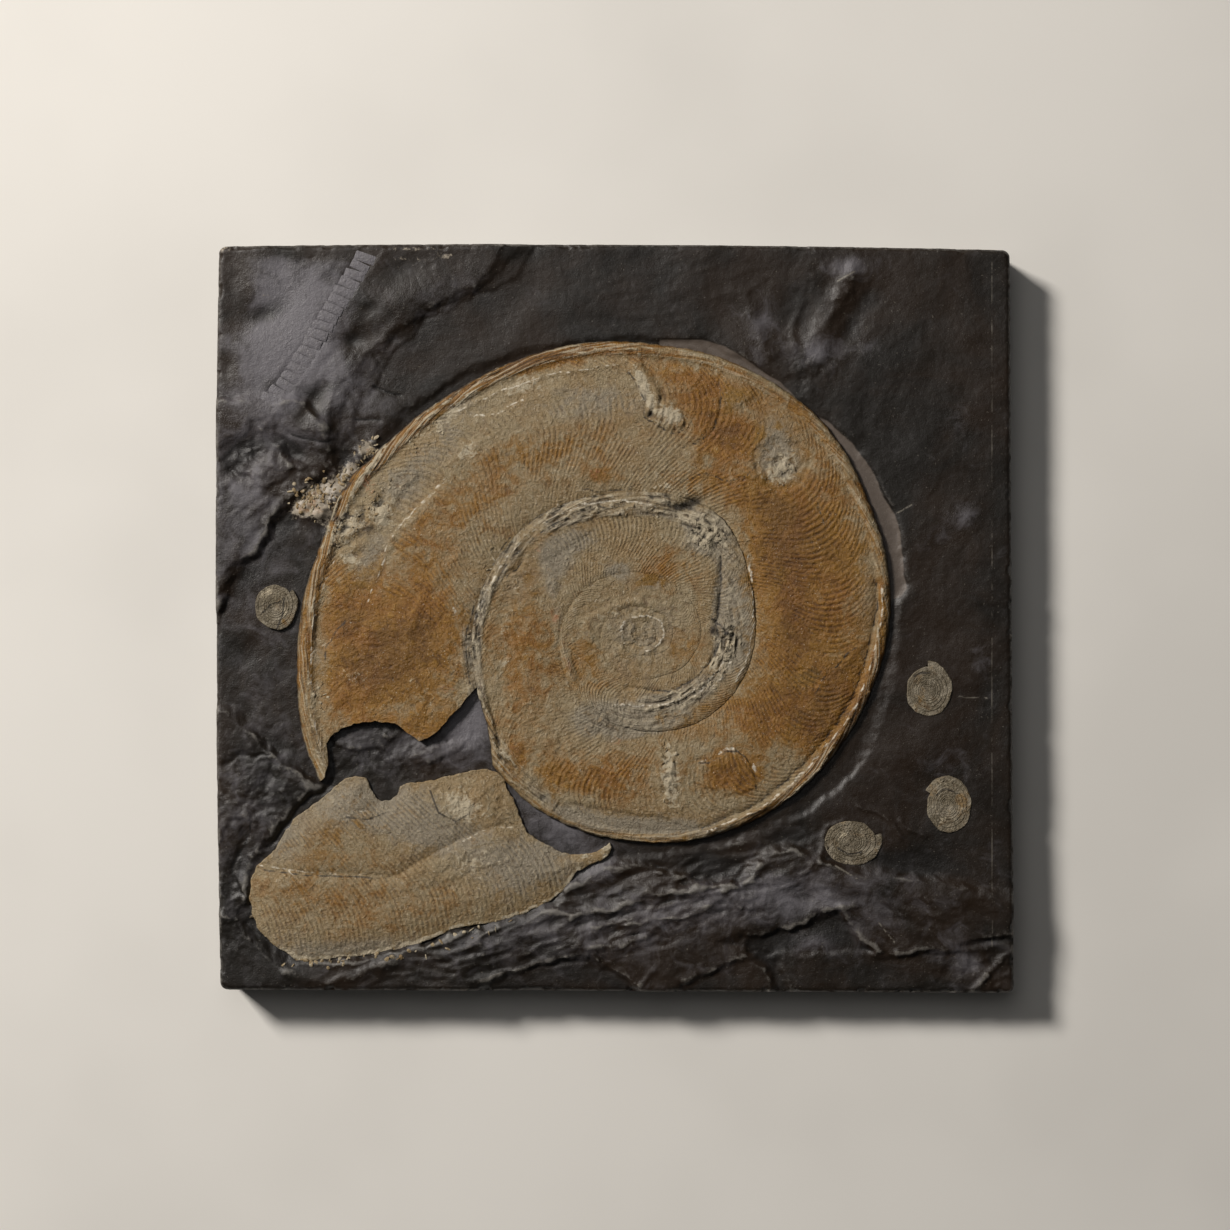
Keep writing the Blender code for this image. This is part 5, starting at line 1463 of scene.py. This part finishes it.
def chamber_sheet():
    """Corners and faces of the chamber's top, with the marks of its stains."""
    outline = []
    for (ax, ay), (bx, by) in zip(CHAMBER, CHAMBER[1:] + CHAMBER[:1]):
        count = max(1, round(math.hypot(bx - ax, by - ay) / CHAMBER_CELL))
        outline += [(ax + (bx - ax) * i / count, ay + (by - ay) * i / count) for i in range(count)]
    edge_x, edge_y = np.array(outline).T
    outline = [Vector(point) for point in zip(*nudged(edge_x, edge_y, 0.5, 4.0, 78))]
    spans = [np.arange(edge.min(), edge.max(), CHAMBER_CELL) for edge in (edge_x, edge_y)]
    grid_x, grid_y = [axis.ravel() for axis in np.meshgrid(*spans)]
    coarse_outline = [tuple(point) for point in outline[::4]]
    well_inside = depth_inside(grid_x, grid_y, coarse_outline, 4.0) > 0.55 * CHAMBER_CELL
    inner = [Vector(point) for point in zip(grid_x[well_inside], grid_y[well_inside])]
    ring = [(i, (i + 1) % len(outline)) for i in range(len(outline))]
    flat, _, faces, *_ = delaunay_2d_cdt(outline + inner, ring, [], 1, 1e-6)
    x, y = np.array([point[:] for point in flat]).T
    depth = np.maximum(depth_inside(x, y, [tuple(point) for point in outline[::3]], 20.0), 0.0)
    height, rib, ribbed = chamber_height(x, y, depth)
    low_down = smooth_step((along_table(x, LOWER_EDGE) + 7.0 - y) / 3.0)
    lower_edge = low_down * smooth_step((2.6 - depth) / 1.6) * (0.6 + grain(x, y, 6.0, 84, 2))
    marks = {
        "rib": rib, "ribbed": ribbed,
        "orange": 0.75 * zone_share(x, y, CHAMBER_ORANGE), "grey": zone_share(x, y, CHAMBER_GREY),
        "cream": np.clip(bells(x, y, CHAMBER_CREAM) + lower_edge, 0.0, 1.0),
        "dark_line": nearest_of(x, y, CHAMBER_CRACKS) + 0.6 * np.abs(grain(x, y, 6.0, 82)),
        "pale_line": nearest_of(x, y, CHAMBER_PALE_LINES) + 0.1 + 1.3 * np.abs(grain(x, y, 6.0, 83)),
    }
    return np.column_stack([x, y, BED_HEIGHT + height]), faces, marks


def draw_down(obj, floor):
    """Closes an open sheet with upright walls and a flat floor."""
    shape = working_shape(obj.data)
    edges = [edge for edge in shape.edges if edge.is_boundary]
    for vertex in bmesh.ops.extrude_edge_only(shape, edges=edges)["geom"]:
        if isinstance(vertex, bmesh.types.BMVert):
            vertex.co.z = floor * MM
    bmesh.ops.edgeloop_fill(shape, edges=[edge for edge in shape.edges if edge.is_boundary])
    write_back(shape, obj.data)


corners, faces, marks = chamber_sheet()
chamber = piece("broken_living_chamber", corners, faces, stained_shell, marks)
draw_down(chamber, SHELL_FLOOR)
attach(chamber, "root")
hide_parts("body_chamber_fragment")
print("the chamber has", triangle_count(chamber), "triangles")

# %% [markdown]
# ## The four young shells
# Four small ammonites lie on the same face, pressed to thin discs with a faint spiral. They grew by the same
# rule as the big one, so the same kind of tree makes them, with a lower section and fewer ribs. Each is then
# squashed to its own oval and gets the crack or the spot of crust that it has.

# %% The rule of a young shell
YOUNG_SECTION = [(0.0, 0.5), (0.12, 0.68), (0.5, 0.74), (0.8, 0.86), (0.92, 0.8), (1.0, 0.52)]
YOUNG_LEAN = [(0.0, 0.0), (0.4, -6.0), (0.8, -2.0), (1.0, 5.0)]
YOUNG_TURNS = [
    (-1.0, 0.0, 190, 10), (-2.004, -0.996, 160, 8), (-3.004, -1.996, 130, 7), (-4.004, -2.996, 110, 6),
    (-6.004, -3.996, 160, 5), (-9.0, -5.996, 160, 5),
]
YOUNG_CROWDING = 1.25
YOUNG_RELIEF = 0.65
YOUNG_TIGHTNESS = 1.25
# Ribs in the last turn, how far they show, spots of crust, and cracks.
YOUNG_FACTS = {
    "small_ammonite_left": (38.0, 0.5, [(-158, 12, 4, 2, 30, 0.9), (-150, 3, 2, 4, 0, 0.6)],
                            [[(-150.5, 9), (-151, 2), (-154, -5)], [(-160, 3), (-156, 7), (-152, 8)]]),
    "small_ammonite_right": (34.0, 0.15, [(135.5, -42.5, 2.5, 1.4, 60, 1.0), (145, -24, 2, 2, 0, 0.7)],
                             [[(136, -26), (139, -24.5), (143, -24.5)]]),
    "small_ammonite_lower_right": (40.0, 0.5, [(150, -90, 4, 3, 20, 0.5)],
                                   [[(146, -80), (150, -77), (155, -79)]]),
    "small_ammonite_bottom": (46.0, 0.9, [(104, -98, 5, 3, 20, 0.6)],
                              [[(101, -104), (106, -107), (112, -106)]]),
}
young_tree = turn_tree("one_turn_of_a_young_shell", YOUNG_SECTION, YOUNG_SECTION, YOUNG_LEAN)


def young_turn(values, place, facts):
    """Points and marks of one turn of a young shell, squashed to its oval."""
    _, centre_x, centre_y, half_width, half_height, _ = place
    _, ribs_show, crust, cracks = facts
    turn, across, rib, places = ribbon_grid(young_tree, values)
    under = np.clip(1.0 - across * (values["Lines"] - 1.0), 0.0, 1.0)
    far_out = np.hypot(places[..., 0], places[..., 1])
    shrink = 1.0 - under * np.where(far_out < 0.2, 0.98, 0.03)
    x = centre_x + half_width * places[..., 0] * shrink
    y = centre_y + half_height * places[..., 1] * shrink
    out = np.hypot((x - centre_x) / half_width, (y - centre_y) / half_height)
    wobble = 1.04 + 0.05 * grain(x, y, 6.0, 91, 2) * smooth_step(out)
    x, y = drawn_in(x, y, (centre_x, centre_y), wobble)
    height = YOUNG_RELIEF * places[..., 2] + 0.25 * (1.0 - out ** 2) - 0.2 * under
    height += 0.10 * grain(x, y, 6.0, 92, 3) + 0.10 * stepped(1.5 * grain(x, y, 4.0, 93, 3), 3.0)
    height += 0.05 * ribs_show * np.cos(2.0 * math.pi * rib)
    height -= 0.25 * smooth_step((out - 0.93) / 0.15)
    spots = zone_share(x, y, crust)
    marks = {
        "rib": rib, "ribbed": ribs_show * np.clip(0.7 + grain(x, y, 7.0, 94), 0.1, 1.0),
        "orange": np.clip(0.35 * grain(x, y, 9.0, 95), 0.0, 1.0), "rust": 0.4 * spots,
        "grey": np.clip(0.3 + grain(x, y, 6.0, 96), 0.0, 1.0), "cream": spots,
        # painted shade along the tucked seam between turns
        "hollow": np.clip(0.25 * under, 0.0, 1.0),
        "dark_line": nearest_of(x, y, cracks) + 0.4 * np.abs(grain(x, y, 3.0, 97)),
        "pale_line": np.full(x.shape, 4.0),
    }
    return np.dstack([x, y, BED_HEIGHT + height]), marks


# %% The four shells
for place in YOUNG:
    name, mouth = place[0], place[5]
    facts = YOUNG_FACTS[name]
    young_bands = []
    for first, last, steps, lines in YOUNG_TURNS:
        points, marks = young_turn({
            "First turn": first, "Last turn": last, "Steps": steps, "Lines": lines,
            "Mouth radius": YOUNG_TIGHTNESS ** 0.35 * MM, "Growth": YOUNG_TIGHTNESS,
            "Mouth angle": math.radians(mouth), "Ribs in last turn": facts[0], "Crowding": YOUNG_CROWDING,
            "Rib height": 0.0, "Opens at": -1.0, "Material": pale_stained_shell,
        }, place, facts)
        young_bands.append(closed_band(points, marks, SHELL_FLOOR))
    young = joined(name.replace("small_ammonite", "young_shell"), young_bands, pale_stained_shell)
    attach(young, "root")
    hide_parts(name)
    print(young.name, "has", triangle_count(young), "triangles")

# %% [markdown]
# ## The pressed keel and the crumbs
# The keel of another shell shows through the upper left sheet as a ladder of small pads between fine grooves.
# One pad is made once and repeated along a path that follows the face, each a little different. Where the
# big shell broke, crumbs of it lie loose in the crust: one stone, scattered over the face where a mark on it
# says.

# %% The pads of the pressed keel
KEEL_SPAN = (99.0, 164.0)
PAD_STEP = 4.35
PAD_SIZE = (4.3, 9.2, 0.7)
PAD_INPUTS = [
    ("Geometry", "Geometry"), ("Step", "Float"), ("Pad size", "Vector"), ("Slant", "Float"), ("Seed", "Int"),
    ("Material", "Material"),
]
# The pads carry the plateau's grey, which is partly a painted sheen, and a small painted highlight.
PAD_MARKS = {"grey": 1.1, "crest": 0.3, "scraped": -6.0, "dark_line": 4.0, "pale_line": 4.0}
# How a pad's height falls off towards its edges: name, operation, first and second value.
PAD_RULE = [
    ("x squared", "MULTIPLY", "X", "X"), ("y squared", "MULTIPLY", "Y", "Y"),
    ("x fourth", "MULTIPLY", "x squared", "x squared"), ("y fourth", "MULTIPLY", "y squared", "y squared"),
    ("x lost", "MULTIPLY", "x fourth", 13.0), ("y lost", "MULTIPLY", "y fourth", 15.0),
    ("x left", "SUBTRACT", 1.0, "x lost"), ("y left", "SUBTRACT", 1.0, "y lost"),
    ("left", "MULTIPLY", "x left", "y left"), ("height", "MULTIPLY", "Z", "left"),
]


def keel_tree():
    """Pads along the edges that reach the tree, which are read as one path."""
    tree, known = new_tree("pads_along_the_keel", PAD_INPUTS)
    cube = add(tree, "GeometryNodeMeshCube", None, {
        "Size": (1.0, 1.0, 1.0), "Vertices X": 7, "Vertices Y": 9})
    place = add(tree, "ShaderNodeSeparateXYZ", None, {"Vector": add(tree, "GeometryNodeInputPosition")})
    known.update({socket.name: socket for socket in place.outputs})
    follow_rule(tree, known, PAD_RULE)
    shaped = add(tree, "ShaderNodeCombineXYZ", None, {"X": known["X"], "Y": known["Y"], "Z": known["height"]})
    pad = add(tree, "GeometryNodeSetPosition", None, {"Geometry": cube.outputs["Mesh"], "Position": shaped})
    path = add(tree, "GeometryNodeMeshToCurve", None, {"Mesh": known["Geometry"]})
    path = add(tree, "GeometryNodeResampleCurve", {"mode": "LENGTH"}, {
        "Curve": path, "Length": known["Step"]})
    level = add(tree, "ShaderNodeVectorMath", {"operation": "MULTIPLY"}, {
        0: add(tree, "GeometryNodeInputTangent"), 1: (1.0, 1.0, 0.0)})
    ahead = add(tree, "FunctionNodeAlignRotationToVector", {"axis": "X"}, {"Vector": level})
    slant = add(tree, "FunctionNodeRandomValue", {"data_type": "FLOAT"}, {
        "Min": -0.12, "Max": 0.12, "Seed": known["Seed"]})
    slant = add(tree, "ShaderNodeMath", {"operation": "ADD"}, {0: slant, 1: known["Slant"]})
    slant = add(tree, "ShaderNodeCombineXYZ", None, {"Z": slant})
    turned = add(tree, "FunctionNodeRotateRotation", {"rotation_space": "LOCAL"}, {
        "Rotation": ahead, "Rotate By": slant})
    chance = add(tree, "FunctionNodeRandomValue", {"data_type": "FLOAT_VECTOR"}, {
        "Min": (0.88, 0.9, 0.7), "Max": (1.02, 1.08, 1.05), "Seed": known["Seed"]})
    scale = add(tree, "ShaderNodeVectorMath", {"operation": "MULTIPLY"}, {0: known["Pad size"], 1: chance})
    flow = add(tree, "GeometryNodeInstanceOnPoints", None, {
        "Points": path, "Instance": pad, "Rotation": turned, "Scale": scale})
    flow = add(tree, "GeometryNodeRealizeInstances", None, {"Geometry": flow})
    for name, value in PAD_MARKS.items():
        flow = add(tree, "GeometryNodeStoreNamedAttribute", {"data_type": "FLOAT", "domain": "POINT"}, {
            "Geometry": flow, "Name": name, "Value": value})
    flow = add(tree, "GeometryNodeSetMaterial", None, {"Geometry": flow, "Material": known["Material"]})
    add(tree, "NodeGroupOutput", None, {"Geometry": flow})
    return tree


def tree_piece(name, base, tree, values):
    """A finished piece from a tree on a base mesh, with the tree's named inputs."""
    obj = run_tree(name, base, tree, values)
    obj.data.name = name
    soften(obj.data, 50)
    return obj


along_keel = np.linspace(0, len(KEEL) - 1, 90)
keel_x, keel_y = [np.interp(along_keel, range(len(KEEL)), axis) for axis in zip(*KEEL)]
keel_z = np.minimum(shale_height(keel_x, keel_y) + 0.12, HIGHEST - 0.25)
on_slab = np.column_stack([keel_x, keel_y, keel_z])[(keel_y > KEEL_SPAN[0]) & (keel_y < KEEL_SPAN[1])]
keel_path = bpy.data.meshes.new("keel_path")
keel_path.from_pydata((on_slab * MM).tolist(), [(i, i + 1) for i in range(len(on_slab) - 1)], [])
keel = tree_piece("pressed_keel", keel_path, keel_tree(), {
    "Step": PAD_STEP * MM, "Pad size": [size * MM for size in PAD_SIZE], "Slant": 0.2, "Seed": 4,
    "Material": shale})
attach(keel, "root")
print("the keel has", triangle_count(keel), "triangles")

# %% Crumbs of shell
CRUMB_INPUTS = [
    ("Geometry", "Geometry"), ("Crumbs in a square metre", "Float"), ("Crumb size", "Float"), ("Seed", "Int"),
    ("Material", "Material"),
]
CRUMBS_ON_SHALE = [
    (-137, 55, 9, 8, 30, 1), (-122, 64, 5, 10, -35, 0.9), (-112, 76, 4, 7, -35, 0.7),
    (-116, 47, 6, 5, 0, 0.6), (-120, -155, 40, 3, 5, 0.35), (-60, -141, 24, 2.5, 17, 0.35),
    (-160, -140, 5, 8, 30, 0.3),
]
CRUMBS_ON_COIL = [
    (-124, 42, 7, 7, 30, 1), (-108, 54, 5, 12, -40, 0.8), (-86, 84, 5, 16, -52, 0.5),
    (25, -72, 4, 16, 4, 0.5), (75, 68, 9, 7, 20, 0.4), (40, 38, 9, 7, 0, 0.6), (50, -8, 4, 10, 0, 0.7),
    (44, -26, 4, 8, -40, 0.8), (-132, -40, 4, 26, 6, 0.25), (-60, 10, 5, 26, -12, 0.4),
    (0, 50, 34, 4, 0, 0.3), (28, -36, 14, 3, 20, 0.5),
]


def crumb_tree():
    """Small stones scattered over the faces that reach the tree, as thickly as their mark says."""
    tree, given = new_tree("scattered_crumbs", CRUMB_INPUTS)
    mark = add(tree, "GeometryNodeInputNamedAttribute", {"data_type": "FLOAT"}, {"Name": "crumbs"})
    density = add(tree, "ShaderNodeMath", {"operation": "MULTIPLY"}, {
        0: mark, 1: given["Crumbs in a square metre"]})
    spots = add(tree, "GeometryNodeDistributePointsOnFaces", None, {
        "Mesh": given["Geometry"], "Density": density, "Seed": given["Seed"]})
    stone = add(tree, "GeometryNodeMeshIcoSphere", None, {"Radius": 1.0, "Subdivisions": 1})
    turned = add(tree, "FunctionNodeRandomValue", {"data_type": "FLOAT_VECTOR"}, {
        "Min": (-0.3, -0.3, 0.0), "Max": (0.3, 0.3, 6.28), "Seed": given["Seed"]})
    chance = add(tree, "FunctionNodeRandomValue", {"data_type": "FLOAT_VECTOR"}, {
        "Min": (0.3, 0.25, 0.2), "Max": (2.2, 1.3, 0.7), "Seed": given["Seed"]})
    scale = add(tree, "ShaderNodeVectorMath", {"operation": "SCALE"}, {
        0: chance, "Scale": given["Crumb size"]})
    flow = add(tree, "GeometryNodeInstanceOnPoints", None, {
        "Points": spots.outputs["Points"], "Instance": stone.outputs["Mesh"], "Rotation": turned,
        "Scale": scale})
    pale = add(tree, "FunctionNodeRandomValue", {"data_type": "FLOAT"}, {
        "Min": 0.0, "Max": 0.9, "Seed": given["Seed"]})
    flow = add(tree, "GeometryNodeStoreNamedAttribute", {"data_type": "FLOAT", "domain": "INSTANCE"}, {
        "Geometry": flow, "Name": "cream", "Value": pale})
    flow = add(tree, "GeometryNodeRealizeInstances", None, {"Geometry": flow})
    for name, value in (("dark_line", 4.0), ("pale_line", 4.0)):
        flow = add(tree, "GeometryNodeStoreNamedAttribute", {"data_type": "FLOAT", "domain": "POINT"}, {
            "Geometry": flow, "Name": name, "Value": value})
    flow = add(tree, "GeometryNodeSetMaterial", None, {"Geometry": flow, "Material": given["Material"]})
    add(tree, "NodeGroupOutput", None, {"Geometry": flow})
    return tree


CRUMBS_IN_SQUARE_METRE = 330000.0
crumbs = crumb_tree()
for name, ground, zones, size in (("crumbs_on_the_shale", slab, CRUMBS_ON_SHALE, 0.95),
                                  ("crumbs_on_the_coil", coil, CRUMBS_ON_COIL, 0.75)):
    base = ground.data.copy()
    places = corner_places(base)
    thickly = np.clip(bells(places[:, 0], places[:, 1], zones) - 0.08, 0.0, 1.0)
    thickly = thickly * (places[:, 2] > 20.6) * (places[:, 2] < HIGHEST - 0.9)
    keep_marks(base, {"crumbs": thickly})
    stones = tree_piece(name, base, crumbs, {
        "Crumbs in a square metre": CRUMBS_IN_SQUARE_METRE, "Crumb size": size * MM, "Seed": 11,
        "Material": stained_shell})
    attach(stones, "root")
    print(name, "has", triangle_count(stones), "triangles")

# %% [markdown]
# ## Floor, light and camera
# The slab lies on a pale floor and the camera looks straight down on it, as in the photograph. One large
# soft light low on the upper left rakes over the ribs, and a weak even world fills the shadows.

# %% The pale floor
FLOOR_SIZE = 2600.0
CLOUD_SIZE = 180.0
FLOOR_PALE = linear("#dedbd5")
FLOOR_GREY = linear("#d6d3cd")


def floor_material():
    clouds = [("cloud", CLOUD_SIZE, 3.0, 0.5, 0.0)]
    material, tree, _, noise, _ = new_material("painted_board", 0.75, 1.45, clouds)
    colour = coats(tree, FLOOR_PALE, [(noise["cloud"], 0.35, 0.7, 1.0, FLOOR_GREY)])
    tree.links.new(colour.outputs["Result"], tree.nodes["Principled BSDF"].inputs["Base Color"])
    return material


def flat_floor():
    half = FLOOR_SIZE / 2.0
    mesh = bpy.data.meshes.new("floor")
    corners = [(-half, -half, 0.0), (half, -half, 0.0), (half, half, 0.0), (-half, half, 0.0)]
    mesh.from_pydata([[MM * value for value in corner] for corner in corners], [], [(0, 1, 2, 3)])
    mesh.materials.append(floor_material())
    return linked("floor", mesh)


flat_floor()
print("floor of", FLOOR_SIZE, "mm")

# %% Light from the upper left, and the fill
# Bearing and elevation in degrees, reach and size in mm, power in watts, colour.
LIGHTS = {
    "key": (142.0, 38.0, 2700.0, 520.0, 92.0, "#fffaf4"),
    "sheen": (110.0, 68.0, 1500.0, 900.0, 2.5, "#f6f5f4"),
}
FILL_STRENGTH = 0.042
FACE_HEIGHT = 23.0


def area_light(name, bearing, elevation, reach, size, power, colour):
    """A square light that looks at the middle of the face, from a bearing and elevation in degrees."""
    bearing, elevation = math.radians(bearing), math.radians(elevation)
    lamp = bpy.data.lights.new(name, "AREA")
    lamp.size = size * MM
    lamp.energy = power
    lamp.color = linear(colour)[:3]
    held = linked(name, lamp)
    towards = Vector((math.cos(bearing) * math.cos(elevation), math.sin(bearing) * math.cos(elevation),
                      math.sin(elevation)))
    held.location = towards * reach * MM + Vector((0.0, 0.0, FACE_HEIGHT * MM))
    held.rotation_euler = towards.to_track_quat("Z", "Y").to_euler()


for name, values in LIGHTS.items():
    area_light(name, *values)
world = bpy.data.worlds.new("studio")
world.use_nodes = True
world.node_tree.nodes["Background"].inputs["Color"].default_value = linear("#f2f0ee")
world.node_tree.nodes["Background"].inputs["Strength"].default_value = FILL_STRENGTH
bpy.context.scene.world = world
bpy.context.scene.view_settings.view_transform = "Standard"
print("key light at", LIGHTS["key"][1], "degrees above the slab")

# %% The camera
PHOTO_SIDE = 1230.0
PIXELS_PER_MM = 2.2
CAMERA_REACH = 1300.0
SENSOR = 36.0
LOOKS_AT = (0.0, 1.8)

camera_data = bpy.data.cameras.new("camera")
camera_data.sensor_width = SENSOR
camera_data.lens = SENSOR * CAMERA_REACH / (PHOTO_SIDE / PIXELS_PER_MM)
camera = linked("camera", camera_data)
camera.location = (LOOKS_AT[0] * MM, LOOKS_AT[1] * MM, (FACE_HEIGHT + CAMERA_REACH) * MM)
camera.rotation_euler = (0.0, 0.0, 0.0)
bpy.context.scene.camera = camera
print("lens of", round(camera_data.lens, 1), "mm")

# %% [markdown]
# The box of the packed part is printed at the end, in metres.

# %% Sizes, and the end
bpy.context.view_layer.update()
print("packed part", np.round(cad_box, 4).tolist())
